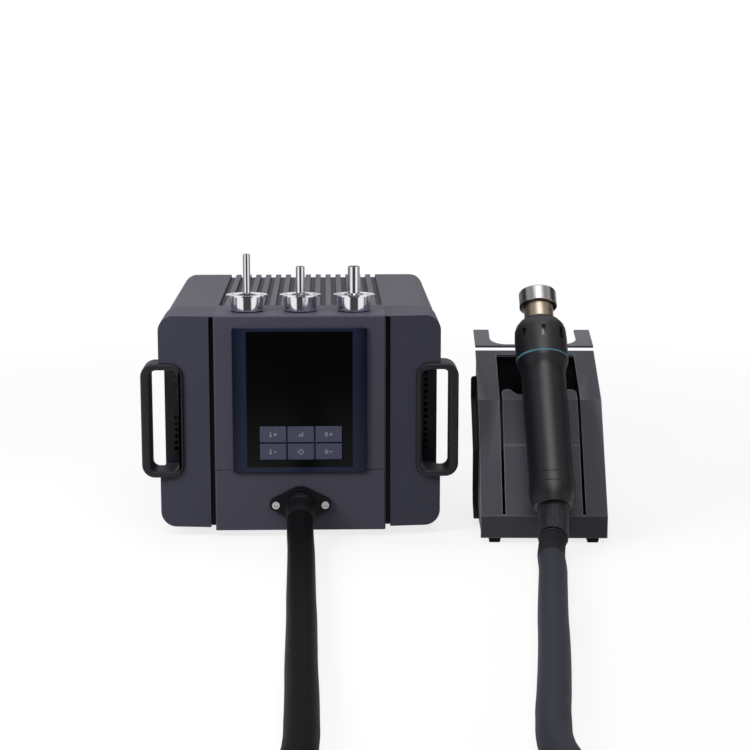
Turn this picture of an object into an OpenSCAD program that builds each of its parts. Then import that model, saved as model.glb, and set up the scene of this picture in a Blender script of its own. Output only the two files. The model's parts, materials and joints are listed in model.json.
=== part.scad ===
// Hot air rework station: a bench unit with a blower, its handpiece on a stand, three nozzles
// and the air hose between them. All sizes are in millimetres, +Z is up, and the front faces -Y.

/* [Placing] */
// Middle of the unit's front, left of the middle of the whole set
unit_x = -65; // [-90:1:-40]
// Front face of the unit, ahead of the middle of the whole set
unit_y = -106; // [-130:1:-80]
// Middle of the stand's front edge, right of the middle of the set
stand_x = 138; // [134:1:170]
// Front edge of the stand
stand_y = -133; // [-160:1:-120]
// Turn of the stand on the bench, clockwise seen from above
stand_turn = 2.2; // [0:0.1:4]

/* [Unit body] */
// Width over the two front side covers
body_w = 236; // [224:1:260]
// Depth from the front frame to the rear edge
body_d = 288; // [274:1:320]
// Height of the front frame above the bench
body_top = 189; // [184:1:205]
// Height of the covers' lower edge above the bench
body_low = 8; // [6:0.5:10]
// Radius of the covers' long corners
corner_r = 13; // [8:0.5:14]
// Thickness of the cast front pieces
cast_t = 3; // [2.5:0.1:4]
// Thickness of the sheet covers, base and rear panel
sheet_t = 2.5; // [1.5:0.1:3]
// Set-in of the long side covers behind the front covers
side_step = 1; // [0.5:0.1:2]
// Clearance between pieces that are screwed together
seam = 0.2; // [0.1:0.05:0.4]
// Width of the flat lip that a side cover turns under the base
lip_w = 4; // [3.8:0.1:8]
// Set-in of the rear panel from the covers' rear edge
rear_in = 2.5; // [1:0.5:6]

/* [Front] */
// Width of the middle front frame
frame_w = 143.2; // [138:0.2:148]
// Depth of the cast front band
band_d = 62; // [56:1:70]
// Drop of the side covers' top below the middle frame
side_drop = 1; // [0.5:0.1:2]
// Width of the dark slot on each side of the middle frame
slot_w = 4; // [3:0.1:5]
// Depth of the dark slot
slot_d = 10; // [8:0.5:14]
// Thickness of the strip at the bottom of the slot
trim_t = 2; // [1:0.1:2.4]
// Thickness of the cover's roof over the slot
slot_roof = 0.8; // [0.6:0.1:1.2]
// Set-back of a side cover's inner front edge
side_back = 3; // [1:0.5:5]
// Further set-back of its outer front edge
side_sweep = 4; // [2:0.5:6]
// Height of the seam between the front frame and the lower panel
split_z = 58.4; // [57.6:0.2:60]
// Height of the lower panel's bottom edge
panel_low = 6; // [5:0.5:6]
// Width of the front chamfers
chamfer = 1.2; // [0.6:0.1:2]

/* [Display] */
// Width of the display glass
glass_w = 112.4; // [108:0.2:118]
// Height of the display glass
glass_h = 122.4; // [120:0.2:126]
// Height of the glass's lower edge above the bench
glass_z = 56.4; // [56:0.1:57.4]
// Thickness of the display glass
glass_t = 2.6; // [2.2:0.1:3.5]
// Corner radius of the glass
glass_r = 2; // [1:0.5:4]
// Shift of the display and the keys to the right of the middle
panel_shift = 0.6; // [0:0.1:2]
// Width of one key
key_w = 21.9; // [20:0.1:22.4]
// Height of one key
key_h = 13.4; // [12:0.1:14]
// Gap between keys
key_gap = 1.4; // [1:0.1:2]
// Height of the middle of the lower row of keys
key_row_z = 74.2; // [73:0.1:77]
// How far a key stands out of the glass
key_proud = 0.4; // [0.2:0.1:0.8]
// How far a key travels
key_travel = 0.8; // [0.5:0.1:1]
// Clearance round a moving key
key_clear = 0.35; // [0.3:0.05:0.5]
// Diameter of a key's stem
stem_d = 4; // [3:0.5:6]

/* [Side handles] */
// Reach of a side handle beyond the side cover
grip_out = 15; // [12:0.5:20]
// Width of a side handle
grip_w = 35.5; // [32:0.5:40]
// Height of a side handle
grip_h = 97; // [90:1:105]
// Height of its lower edge above the bench
grip_z = 51; // [46:1:56]
// Depth of a side handle from front to back
grip_d = 28; // [22:1:34]
// Set-back of a side handle's front face
grip_y = 2; // [0:0.5:4]
// Outer corner radius of a side handle
grip_r = 11; // [8:0.5:13]
// Thickness of its outer bar
grip_bar = 7.6; // [6:0.2:9]
// Thickness of its top and bottom bars
grip_cap = 5.4; // [4:0.2:7]
// Thickness of its inner bar
grip_inner = 4.2; // [3.4:0.2:5]
// Diameter of a hole in the vent behind the handle
vent_hole = 3.6; // [3:0.1:4]
// Pitch of the vent holes
vent_pitch = 5.5; // [5:0.1:6]

/* [Cooling fins] */
// Number of grooves in the top cover
groove_n = 15; // [9:1:15]
// Pitch of the grooves
groove_pitch = 9.7; // [8.6:0.1:9.8]
// Width of a groove
groove_w = 4.7; // [3:0.1:5.2]
// Depth of a groove
groove_deep = 2.8; // [2:0.1:3.2]
// Thickness of the top cover at its ribs
fin_t = 5.4; // [5:0.1:7]

/* [Air outlet] */
// Height of the hose gland above the bench
gland_z = 29; // [28:0.5:32]
// Diameter of the gland's flange
gland_d = 30; // [29:0.5:32]
// Distance between the gland's two screws
gland_screws_w = 41.4; // [40:0.2:44]
// Thickness of the gland's flange
gland_t = 4; // [3:0.5:5]
// Downward slope of the boot
boot_slope = 20; // [18:1:22]
// Diameter of the ribbed boot
boot_d = 24.6; // [24:0.1:25.4]
// Length of the boot with its cuff
boot_len = 24; // [22:0.5:26]
// Diameter of the air hose
hose_d = 22; // [20:0.5:22.4]
// Outer diameter of the air duct inside the unit
duct_d = 22.8; // [21:0.2:23.2]

/* [Nozzles] */
// Outer diameter of a nozzle's cup
cup_d = 27.6; // [26:0.1:27.7]
// Height of a nozzle's cup
cup_h = 14; // [12:0.5:18]
// Wall of a cup and of its tube
nozzle_t = 0.8; // [0.6:0.1:1]
// Width over the two pointed ears of the flange
ear_w = 35.4; // [34:0.2:38]
// Distance between standing nozzles
nozzle_pitch = 45; // [40:0.5:46]
// Set-back of the standing nozzles from the front
nozzle_y = 29; // [26:0.5:34]
// Tube diameter of the small nozzle
small_d = 6.1; // [5:0.1:7]
// Tube diameter of the medium nozzle
medium_d = 7.6; // [7:0.1:9]
// Tube diameter of the large nozzle
large_d = 10.2; // [9:0.1:12]
// Overall height of the small nozzle
small_h = 48; // [40:0.5:56]
// Overall height of the medium nozzle
medium_h = 37.5; // [32:0.5:44]
// Overall height of the large nozzle
large_h = 37.5; // [32:0.5:44]

/* [Stand] */
// Width of the stand
stand_w = 105.6; // [100:0.2:112]
// Thickness of the stand's folded sheet
stand_t = 2; // [1.5:0.1:2.5]
// Height of the stand's lower edge
stand_low = 4.6; // [4:0.2:5.6]
// Height of the front lip's upper edge
lip_z = 23.5; // [20:0.5:27]
// Set-back of the crease between slope and upper face
crease_y = 66; // [62:1:70]
// Height of that crease
crease_z = 109.5; // [106:0.5:112]
// Set-back of the upper face's end
brow_y = 135; // [132:0.5:136]
// Height of the upper face's end
brow_z = 141; // [139:0.5:143]
// Half width of the spring tongue
tongue_half = 32.2; // [30:0.2:34]
// Width of the slits beside the tongue
slit_w = 2.4; // [2:0.1:3]
// Set-back of the tongue's upper edge
tongue_y = 80; // [78:1:90]
// Depth of the dip in that edge, which clears the handpiece
tongue_dip = 7; // [4:0.5:8]
// Distance of the groove across the tongue from the crease, down the slope
tongue_seam = 43; // [30:1:60]
// Width of the nozzle fork's notch
notch_w = 78; // [72:1:82]
// Corner radius of that notch
notch_r = 15; // [10:1:18]
// Depth of the fork plate from front to back
fork_d = 40; // [36:1:44]
// Set-back of the fork plate's front edge
fork_y = 139; // [138.5:0.5:141]
// Height of the fork plate's front edge
fork_z = 144.6; // [143:0.2:147]
// Rise of the fork plate from front to back
fork_rise = 8.4; // [4:0.2:12]

/* [Handpiece] */
// Diameter of the grip at its upper end
grip_tube_d = 38.0; // [37:0.2:38.2]
// Diameter of the grip at its lower end
grip_tail_d = 36.8; // [36:0.2:37.4]
// Diameter of the tail cap
cap_d = 38.6; // [38:0.2:38.8]
// Length of the tail cap and its ring above the mouth
tail_len = 19.5; // [17:0.5:22]
// Length of the grip from the mouth to the flare
grip_len = 116; // [112:1:120]
// Length of the flare with its rim
flare_len = 13; // [11:0.5:16]
// Width of the coloured ring
accent_w = 2; // [1.5:0.1:3]
// Diameter of the head shroud
shroud_d = 45; // [44:0.2:46]
// Length of the head shroud
shroud_len = 38; // [36:0.5:40]
// Diameter of the heater tube
heater_d = 25.4; // [25:0.2:26]
// Length of bare heater tube between shroud and socket
heater_bare = 14; // [8:0.5:16]
// Outer diameter of the nozzle socket
socket_d = 32.6; // [32:0.1:34]
// Bore of the nozzle socket
socket_bore = 28; // [27.9:0.05:28.4]
// Depth of the nozzle socket
socket_deep = 9; // [8:0.5:12]
// Length of the skirt below the socket's floor
socket_skirt = 3; // [2:0.5:6]
// Distance of the grip's mouth up the stand's slope
tail_along = 5.6; // [5:0.2:8]
// Sideways place of the grip's mouth on the stand
tail_side = 5.7; // [3:0.1:7]
// Turn of the handpiece on the stand
gun_turn = 3; // [2:0.1:4]
// Gap between the handpiece and the stand
gun_gap = 0.4; // [0.3:0.05:0.6]
// Diameter of the ribbed hose sleeve
sleeve_d = 25; // [24:0.2:25.4]
// Bend radius of the sleeve
sleeve_bend = 68; // [66:1:72]
// Angle of the sleeve's bend
sleeve_angle = 34; // [32:1:35]
// Sideways lean of the sleeve's bend
sleeve_lean = 20; // [16:1:22]

/* [Blower] */
// Radius of the blower housing at its outlet
blower_r = 50; // [48:1:54]
// Height of the blower housing
blower_h = 37; // [34:0.5:42]
// Radius of the impeller
wheel_r = 38; // [34:1:40]
// Number of impeller blades
blade_n = 11; // [7:1:13]
// Diameter of the motor shaft
shaft_d = 5; // [4:0.5:6]
// Set-back of the blower's axis from the front
blower_y = 200; // [190:1:210]
// Diameter of the blower motor
motor_d = 46; // [40:1:50]
// Height of the blower motor
motor_h = 32; // [26:1:38]

/* [Hidden] */
$fn = 64;

// Overrun of a cut past the face that it opens
cut = 1;

// Colours
front_grey = [0.25, 0.25, 0.28];
side_grey = [0.22, 0.22, 0.26];
top_grey = [0.41, 0.41, 0.44];
black = [0.08, 0.08, 0.09];
glass_blue = [0.10, 0.12, 0.19];
key_grey = [0.28, 0.28, 0.37];
steel = [0.78, 0.78, 0.80];
straw = [0.72, 0.64, 0.50];
teal = [0.35, 0.55, 0.61];
board_green = [0.10, 0.30, 0.18];
ceramic = [0.90, 0.89, 0.86];

// Unit body
half_w = body_w / 2;
sheet_half = half_w - side_step;
cover_top = body_top - side_drop;
frame_half = frame_w / 2;
cover_in = frame_half + slot_w;
floor_z = body_low + sheet_t;
rear_y = body_d - rear_in - sheet_t;
base_front = slot_d + trim_t + 2 * seam;
cover_back = band_d + seam;
fin_half = frame_half - 6 * seam;
fin_lip = 8;
fin_low = cover_top - fin_t;
lip_end = sheet_half - corner_r;
base_half = lip_end - lip_w - seam;
screw_d = 3;
screw_head_d = 6;
screw_head_t = 1.6;
screw_fit = 0.1;
base_screw_x = lip_end - lip_w / 2;
base_screw_in = 18;
base_screw_y = [cover_back + base_screw_in, (cover_back + rear_y) / 2, rear_y - base_screw_in];
rear_screw_x = half_w - 12;
rear_screw_in = 24;

// Side handles and the pockets that they sit in
grip_x0 = half_w + grip_out - grip_w;
pocket_gap = 0.15;
pocket_wall = 3;
vent_t = 2;
vent_x = half_w - 9.6;

// Keys, display and their boards
key_pitch_x = key_w + key_gap;
key_pitch_z = key_h + key_gap;
key_cap_t = 1.8;
key_front = -glass_t - key_proud;
stem_end = 4.2;
switch_t = 2;
key_board_y = stem_end + key_travel + 0.3 + switch_t;
board_t = 1.6;
window_w = 85;
window_h = 74;
window_z = key_row_z + 1.5 * key_pitch_z + 3.6;
post_d = 7;
post_in = 5;
control_y = 14;
control_w = 110;
control_h = 108;
control_z = 64;
power_board_front = 18;
power_board_back = 43;
power_board_y = [cover_back + power_board_front, rear_y - power_board_back];
power_board_z = 6;

// Air outlet
gland_hub_t = 2;
gland_bore = 19;
ball_r = boot_d / 2;
ball_in = 2;
ball_fit = 0.3;
duct_wall = 1;

// Mains inlet and rocker on the rear panel, with the rocker's pivot below the bezel's outer face
inlet_at = [62, 42];
inlet_body = [27, 20];
rocker_at = [62, 84];
bezel_body = [23, 26];
bezel_t = 2;
pivot_deep = 4;
pivot_d = 3;
rocker_half_w = 8.5;
rocker_half_h = 9.6;
rocker_swing = 16;
rocker_gap = 0.4;

// Blower
blower_x = 36;
outlet_half = 14;
outlet_reach = 70;
outlet_y = blower_y - outlet_reach;
power_board_x = [outlet_half + 2, base_half - 7];
blower_wall = 2.5;
tongue_turn = 60;
wheel_low = 4;
wheel_h = 26;
shaft_fit = 0.05;

// Stand
stand_half = stand_w / 2;
slope = atan2(crease_z - lip_z, crease_y);
slope_dir = [cos(slope), sin(slope)];
slope_out = [-sin(slope), cos(slope)];
shell_line = [[0, stand_low], [0, lip_z], [crease_y, crease_z], [brow_y, brow_z]];
base_z = stand_low + 1.4;
wall_in = 0.8;
cross_z = brow_z - 44;
cross_h = 17;
neck_half = 15;
foot_back = crease_y - 8;
back_flange = 3.6;

// Handpiece, along its own axis from the mouth of the tail cap
tail_at = [0, lip_z] + tail_along * slope_dir + (cap_d / 2 + gun_gap) * slope_out;
cap_len = 10.6;
wall = 3;
flare_s = grip_len + flare_len;
shroud_s = flare_s + accent_w;
shroud_end = shroud_s + shroud_len;
socket_s = shroud_end + heater_bare;
socket_floor = 2;
socket_end = socket_s + socket_skirt + socket_floor + socket_deep;
tube_wall = 0.7;

// Route of the air hose's middle line, from the boot's cuff to the handpiece's sleeve
hose_route = [
  [-65, -134.7, 20.73], [-65, -138.5, 19.35], [-65, -147, 16.3], [-64.5, -162, 12.5],
  [-64, -177, 11.05], [-63.5, -201, 11.05], [-63, -236, 11.05], [-62.5, -276, 11.05],
  [-62, -316, 11.05], [-61, -366, 11.05], [-60.5, -416, 11.05], [-60, -466, 11.05],
  [-59, -516, 11.05], [-58.5, -561, 11.05], [-58.5, -596, 11.05], [-61, -629, 11.05],
  [-71, -666, 11.05], [-84, -706, 11.05], [-88, -746, 11.05], [-76, -786, 11.05],
  [-48, -817, 11.05], [-10, -833, 11.05], [32, -831, 11.05], [70, -812, 11.05],
  [97, -780, 11.05], [109, -740, 11.05], [106, -698, 11.05], [96, -655, 11.05],
  [89, -612, 11.05], [92.5, -561, 11.05], [98.5, -516, 11.05], [105, -466, 11.05],
  [111, -416, 11.05], [116.5, -366, 11.05], [122, -321, 11.05], [127, -281, 11.05],
  [131.3, -246, 11.05], [133.4, -220, 11.05], [134.75, -207.3, 11.05], [135.9, -198.9, 11.46],
  [137.25, -190.5, 12.7], [138.72, -182.4, 14.73], [139.61, -177.72, 16.27]
];
hose_sides = 8;

// Points of an arc about c, from one angle to another
function arc(c, r, from, to, n = 6) =
  [for (i = [0:n]) let (a = from + (to - from) * i / n) c + r * [cos(a), sin(a)]];
function reversed(p) = [for (i = [len(p) - 1:-1:0]) p[i]];
function unit(v) = v / norm(v);
function right_of(v) = unit([v.y, -v.x]);

// Offset at a fold between two directions, one sheet thickness to their right
function fold_normal(a, b) =
  let (n = unit(right_of(a) + right_of(b))) n / (n * right_of(a));

// The line one thickness t to the right of the line p
function inner_line(p, t) =
  [for (i = [0:len(p) - 1])
    let (before = i == 0 ? p[1] - p[0] : p[i] - p[i - 1])
    let (after = i == len(p) - 1 ? before : p[i + 1] - p[i])
    p[i] + t * fold_normal(before, after)];

// Outline of a disc of radius R with two smaller discs of radius r at a distance d, and their tangents
function eye(R, r, d) =
  let (a = acos((R - r) / d))
  concat(arc([0, 0], R, a, 180 - a, 10), arc([-d, 0], r, 180 - a, 180 + a, 8),
    arc([0, 0], R, 180 + a, 360 - a, 10), arc([d, 0], r, -a, a, 8));

// A profile in Y and Z, extruded across
module along_x(from, to) {
  translate([from, 0, 0]) rotate([90, 0, 90]) linear_extrude(to - from) children();
}

// A profile in X and Z, extruded from front to back
module along_y(from, to) {
  translate([0, to, 0]) rotate([90, 0, 0]) linear_extrude(to - from) children();
}

// An outline in X and Y, extruded upwards
module along_z(from, to) {
  translate([0, 0, from]) linear_extrude(to - from) children();
}

// The right-hand piece as drawn for s = 1, mirrored for s = -1
module side(s) {
  mirror([s < 0 ? 1 : 0, 0, 0]) children();
}

module both_sides() {
  for (s = [-1, 1]) side(s) children();
}

module on_unit() {
  translate([unit_x, unit_y, 0]) children();
}

module on_stand() {
  translate([stand_x, stand_y, 0]) rotate([0, 0, -stand_turn]) children();
}

module on_gun() {
  on_stand() translate([tail_side, tail_at.x, tail_at.y]) rotate([0, 0, gun_turn])
    rotate([slope - 90, 0, 0]) children();
}

module rounded(w, h, r) {
  translate([r, 0]) square([w - 2 * r, h]);
  translate([0, r]) square([w, h - 2 * r]);
  for (x = [r, w - r], y = [r, h - r]) translate([x, y]) circle(r);
}

// Section of a right-hand cover, round at its two outer corners
module side_outline(x_in, x_out, low, top, r) {
  translate([x_in, low]) square([x_out - r - x_in, top - low]);
  translate([x_in, low + r]) square([x_out - x_in, top - low - 2 * r]);
  for (z = [low + r, top - r]) translate([x_out - r, z]) circle(r);
}

// A ring of a profile, given as distance from the axis and height
module turned(points) {
  rotate_extrude() polygon(points);
}

// A screw along +Z with its head's seat at z = 0 and its shank below
module screw(d, head_d, head_t, len) {
  difference() {
    union() {
      cylinder(d = head_d, h = head_t);
      translate([0, 0, -len]) cylinder(d = d, h = len);
    }
    translate([0, 0, head_t / 2]) cylinder(d = head_d / 2, h = head_t, $fn = 6);
  }
}

// Unit: base, covers and panels

module base_plate() {
  intake_r = 22;
  intake_hole = 4;
  color(top_grey * 0.6) on_unit() difference() {
    union() {
      translate([-base_half, base_front, body_low])
        cube([2 * base_half, rear_y - base_front, sheet_t]);
      both_sides() translate([base_half - sheet_t, cover_back, floor_z])
        cube([lip_end - base_half + sheet_t, rear_y - cover_back, sheet_t]);
      board_posts();
    }
    both_sides() for (y = base_screw_y) translate([base_screw_x, y, floor_z - cut])
      cylinder(d = screw_d + 2 * screw_fit, h = sheet_t + 2 * cut);
    translate([-blower_x, blower_y, body_low - cut]) for (ring = [1, 2], i = [0:6 * ring - 1])
      rotate([0, 0, i * 60 / ring]) translate([ring * intake_r / 2.6, 0, 0])
        cylinder(d = intake_hole, h = sheet_t + 2 * cut);
  }
}

module board_posts() {
  for (x = [power_board_x[0] + post_in, power_board_x[1] - post_in],
      y = [power_board_y[0] + post_in, power_board_y[1] - post_in])
    translate([x, y, floor_z]) cylinder(d = post_d, h = power_board_z);
}

module side_cover(s) {
  color(top_grey) on_unit() side(s) difference() {
    along_y(cover_back, body_d)
      side_outline(fin_half + seam, sheet_half, body_low, cover_top, corner_r);
    along_y(cover_back - cut, body_d + cut)
      side_outline(fin_half - cut, sheet_half - sheet_t, floor_z, cover_top - sheet_t,
        corner_r - sheet_t);
    translate([0, cover_back - cut, body_low - cut])
      cube([base_half + seam, body_d, sheet_t + 2 * cut]);
    for (y = base_screw_y) translate([base_screw_x, y, body_low - cut])
      cylinder(d = screw_d + 2 * screw_fit, h = sheet_t + 2 * cut);
  }
}

module left_side_cover() {
  side_cover(-1);
}

module right_side_cover() {
  side_cover(1);
}

module fin_cover() {
  first = -(groove_n - 1) / 2 * groove_pitch - groove_w / 2;
  color(top_grey) on_unit() difference() {
    union() {
      translate([-fin_half, cover_back, fin_low]) cube([2 * fin_half, body_d - cover_back, fin_t]);
      translate([-fin_half - fin_lip, cover_back, fin_low])
        cube([2 * (fin_half + fin_lip), rear_y - seam - cover_back, fin_t - sheet_t]);
    }
    for (i = [0:groove_n - 1])
      translate([first + i * groove_pitch, cover_back - cut, cover_top - groove_deep])
        cube([groove_w, body_d, groove_deep + cut]);
  }
}

// Section of a side handle in X and Z, grown by g
module grip_outline(g) {
  translate([grip_x0 - g, grip_z - g]) rounded(grip_w + 2 * g, grip_h + 2 * g, grip_r + g);
}

// The space behind a side cover's swept front, t inside its outer faces
module cover_block(t, back) {
  intersection() {
    along_y(0, back) side_outline(frame_half + seam - (t > 0 ? cut : 0), half_w - t, body_low + t,
      cover_top - t, corner_r - t);
    along_z(0, body_top) polygon([
      [frame_half - cut, side_back + t], [cover_in, side_back + t],
      [half_w, side_back + side_sweep + t], [half_w + cut, side_back + side_sweep + t],
      [half_w + cut, back], [frame_half - cut, back]]);
  }
}

module front_cover(s) {
  color(side_grey) on_unit() side(s) difference() {
    union() {
      difference() {
        cover_block(0, band_d);
        cover_block(cast_t, band_d + cut);
        translate([0, 0, body_low - cut])
          cube([cover_in, slot_d + trim_t, cover_top - slot_roof + cut - body_low]);
        translate([0, base_front - seam, body_low - cut])
          cube([base_half + seam, band_d, cast_t + 2 * cut]);
      }
      intersection() {
        cover_block(0, band_d);
        along_y(0, band_d) grip_outline(pocket_gap + pocket_wall);
      }
    }
    along_y(-cut, band_d + cut) grip_outline(pocket_gap);
  }
}

module left_front_cover() {
  front_cover(-1);
}

module right_front_cover() {
  front_cover(1);
}

module front_frame() {
  color(front_grey) on_unit() difference() {
    intersection() {
      union() {
        translate([-frame_half, 0, split_z]) cube([frame_w, cast_t, body_top - split_z]);
        translate([-frame_half, 0, body_top - cast_t]) cube([frame_w, band_d, cast_t]);
        both_sides() translate([frame_half - cast_t, 0, split_z])
          cube([cast_t, slot_d + trim_t, body_top - split_z]);
        for (x = [-1, 1], z = [control_z + post_d / 2, control_z + control_h - post_d / 2])
          translate([x * (control_w - post_d) / 2, 0, z]) rotate([-90, 0, 0])
            cylinder(d = post_d, h = control_y);
      }
      along_z(0, body_top) polygon([
        [-frame_half + chamfer, 0], [frame_half - chamfer, 0], [frame_half, chamfer],
        [frame_half, band_d], [-frame_half, band_d], [-frame_half, chamfer]]);
      along_x(-frame_half, frame_half) polygon([
        [0, split_z], [0, body_top - chamfer], [chamfer, body_top], [band_d, body_top],
        [band_d, split_z]]);
    }
    translate([panel_shift - window_w / 2, -cut, window_z]) cube([window_w, cast_t + 2 * cut, window_h]);
    key_places() rotate([-90, 0, 0]) translate([0, 0, -cut])
      cylinder(d = stem_d + 2 * key_clear, h = cast_t + 2 * cut);
  }
}

module lower_front_panel() {
  flange_d = 20;
  top = split_z - 3 * seam;
  flange_t = body_low - panel_low;
  color(front_grey) on_unit() difference() {
    intersection() {
      union() {
        translate([-frame_half, 0, panel_low]) cube([frame_w, cast_t, top - panel_low]);
        translate([-frame_half, 0, panel_low]) cube([frame_w, flange_d, flange_t]);
      }
      along_z(0, body_top) polygon([
        [-frame_half + chamfer, 0], [frame_half - chamfer, 0], [frame_half, chamfer],
        [frame_half, flange_d], [-frame_half, flange_d], [-frame_half, chamfer]]);
    }
    translate([0, -cut, gland_z]) rotate([-90, 0, 0])
      cylinder(d = duct_d + 4 * seam + 2 * duct_wall, h = cast_t + 2 * cut);
    both_sides() translate([gland_screws_w / 2, -cut, gland_z]) rotate([-90, 0, 0])
      cylinder(d = screw_d + 2 * screw_fit, h = cast_t + 2 * cut);
  }
}

module rear_panel() {
  slot_n = 9;
  slot_pitch = 12;
  slot_w = 4;
  slot_h = 60;
  slot_from = [-base_half + 17.4, 50];
  panel_half = sheet_half - sheet_t - 4 * seam;
  top = cover_top - sheet_t - seam;
  color(side_grey) on_unit() difference() {
    union() {
      along_y(rear_y, rear_y + sheet_t)
        translate([-panel_half, floor_z + seam])
          rounded(2 * panel_half, top - floor_z - seam, corner_r - sheet_t);
      translate([-base_half + seam, rear_y, body_low])
        cube([2 * (base_half - seam), sheet_t, corner_r]);
    }
    translate([-fin_half - fin_lip - seam, rear_y - cut, fin_low - seam])
      cube([2 * (fin_half + fin_lip + seam), sheet_t + 2 * cut, fin_t]);
    translate([inlet_at.x - inlet_body.x / 2 - seam, rear_y - cut, inlet_at.y - inlet_body.y / 2 - seam])
      cube([inlet_body.x + 2 * seam, sheet_t + 2 * cut, inlet_body.y + 2 * seam]);
    translate([rocker_at.x - bezel_body.x / 2 - seam, rear_y - cut, rocker_at.y - bezel_body.y / 2 - seam])
      cube([bezel_body.x + 2 * seam, sheet_t + 2 * cut, bezel_body.y + 2 * seam]);
    along_y(rear_y - cut, rear_y + sheet_t + cut) for (i = [0:slot_n - 1])
      translate(slot_from + [i * slot_pitch, 0]) rounded(slot_w, slot_h, 0.48 * slot_w);
    both_sides() for (z = [floor_z + rear_screw_in, fin_low - rear_screw_in])
      translate([rear_screw_x, rear_y - cut, z]) rotate([-90, 0, 0])
        cylinder(d = screw_d + 2 * screw_fit, h = sheet_t + 2 * cut);
  }
}

module slot_trims() {
  color(black) on_unit() both_sides() translate([frame_half + seam, slot_d, body_low])
    cube([slot_w - 2 * seam, trim_t, cover_top - slot_roof - body_low - seam]);
}

module station_feet() {
  foot_r = 10;
  foot_taper = 1;
  recess_r = 4;
  front_foot = [base_half - 41.8, slot_d + 32];
  rear_foot = [base_half - 14.8, rear_y - 33];
  color(black) on_unit() both_sides() for (p = [front_foot, rear_foot])
    translate([p.x, p.y, 0]) difference() {
      cylinder(r1 = foot_r - foot_taper, r2 = foot_r, h = body_low);
      translate([0, 0, -cut]) cylinder(r = recess_r, h = body_low / 2 + cut);
    }
}

module base_screws() {
  color(steel) on_unit() both_sides() for (y = base_screw_y)
    translate([base_screw_x, y, body_low]) rotate([180, 0, 0])
      screw(screw_d, screw_head_d, screw_head_t, 2 * sheet_t + 2);
}

module rear_screws() {
  color(steel) on_unit() both_sides() for (z = [floor_z + rear_screw_in, fin_low - rear_screw_in])
    translate([rear_screw_x, rear_y + sheet_t, z]) rotate([-90, 0, 0])
      screw(screw_d, screw_head_d, screw_head_t, sheet_t + 4);
}

// Display, keys and their boards

module key_places() {
  for (i = [-1:1], j = [0:1]) translate([panel_shift + i * key_pitch_x, 0, key_row_z + j * key_pitch_z])
    children();
}

module display_glass() {
  keys_w = 3 * key_pitch_x - key_gap + 2 * key_clear;
  keys_h = 2 * key_pitch_z - key_gap + 2 * key_clear;
  color(glass_blue) on_unit() difference() {
    along_y(-glass_t, 0) translate([-glass_w / 2, glass_z]) rounded(glass_w, glass_h, glass_r);
    translate([panel_shift - keys_w / 2, -glass_t - cut, key_row_z - key_h / 2 - key_clear])
      cube([keys_w, glass_t + 2 * cut, keys_h]);
  }
}

module display_module() {
  rim = 3;
  fit = 0.3;
  color(black) on_unit() {
    translate([panel_shift - window_w / 2 + fit, 0, window_z + fit])
      cube([window_w - 2 * fit, cast_t, window_h - 2 * fit]);
    translate([panel_shift - window_w / 2 - rim, cast_t, window_z - rim])
      cube([window_w + 2 * rim, 3, window_h + 2 * rim]);
  }
}

module key_board() {
  margin = 3;
  post = 6;
  half = 1.5 * key_pitch_x + margin;
  low = key_row_z - key_pitch_z / 2 - 1;
  high = key_row_z + 1.5 * key_pitch_z - 3;
  color(board_green) on_unit() {
    translate([panel_shift - half, key_board_y, low]) cube([2 * half, board_t, high - low]);
    key_places() translate([-post / 2, key_board_y - switch_t, -post / 2]) cube([post, switch_t, post]);
    for (x = [panel_shift - half + post / 2, panel_shift + half - post / 2])
      translate([x, cast_t, (low + high) / 2]) rotate([-90, 0, 0])
        cylinder(d = post - 2, h = key_board_y - cast_t);
  }
}

// One of the six keys, in column i from the left and row j from below
module key(i, j) {
  color(key_grey) on_unit()
    translate([panel_shift + (i - 1) * key_pitch_x, key_front, key_row_z + j * key_pitch_z]) {
      along_y(0, key_cap_t) translate([-key_w / 2, -key_h / 2]) rounded(key_w, key_h, key_clear);
      rotate([-90, 0, 0]) cylinder(d = stem_d, h = stem_end - key_front);
    }
}

module control_board() {
  chip = [36, 2, 36];
  relay = [16, 9, 30];
  color(board_green) on_unit() {
    translate([-control_w / 2, control_y, control_z]) cube([control_w, board_t, control_h]);
    translate([-chip.x / 2, control_y + board_t, control_z + chip.z + 4]) cube(chip);
    translate([control_w / 4, control_y + board_t, control_z + relay.z / 3]) cube(relay);
  }
}

// Side handles and vents

module handle(s) {
  inner_r = grip_r - grip_cap;
  color(black) on_unit() side(s) difference() {
    along_y(grip_y, grip_y + grip_d) grip_outline(0);
    along_y(grip_y - cut, grip_y + grip_d + cut)
      translate([grip_x0 + grip_inner, grip_z + grip_cap])
        rounded(grip_w - grip_inner - grip_bar, grip_h - 2 * grip_cap, inner_r);
  }
}

module left_handle() {
  handle(-1);
}

module right_handle() {
  handle(1);
}

module vent_grille(s) {
  n = floor((grip_h - 2 * grip_r) / vent_pitch);
  mid = grip_z + grip_h / 2;
  color(black) on_unit() side(s) difference() {
    intersection() {
      along_y(band_d - vent_t, band_d) grip_outline(0);
      translate([0, 0, grip_z]) cube([half_w, band_d + cut, grip_h]);
    }
    for (i = [0:n]) translate([vent_x, 0, mid + (i - n / 2) * vent_pitch]) rotate([-90, 0, 0])
      cylinder(d = vent_hole, h = band_d + cut);
  }
}

module left_vent_grille() {
  vent_grille(-1);
}

module right_vent_grille() {
  vent_grille(1);
}

// Air outlet at the front

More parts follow.
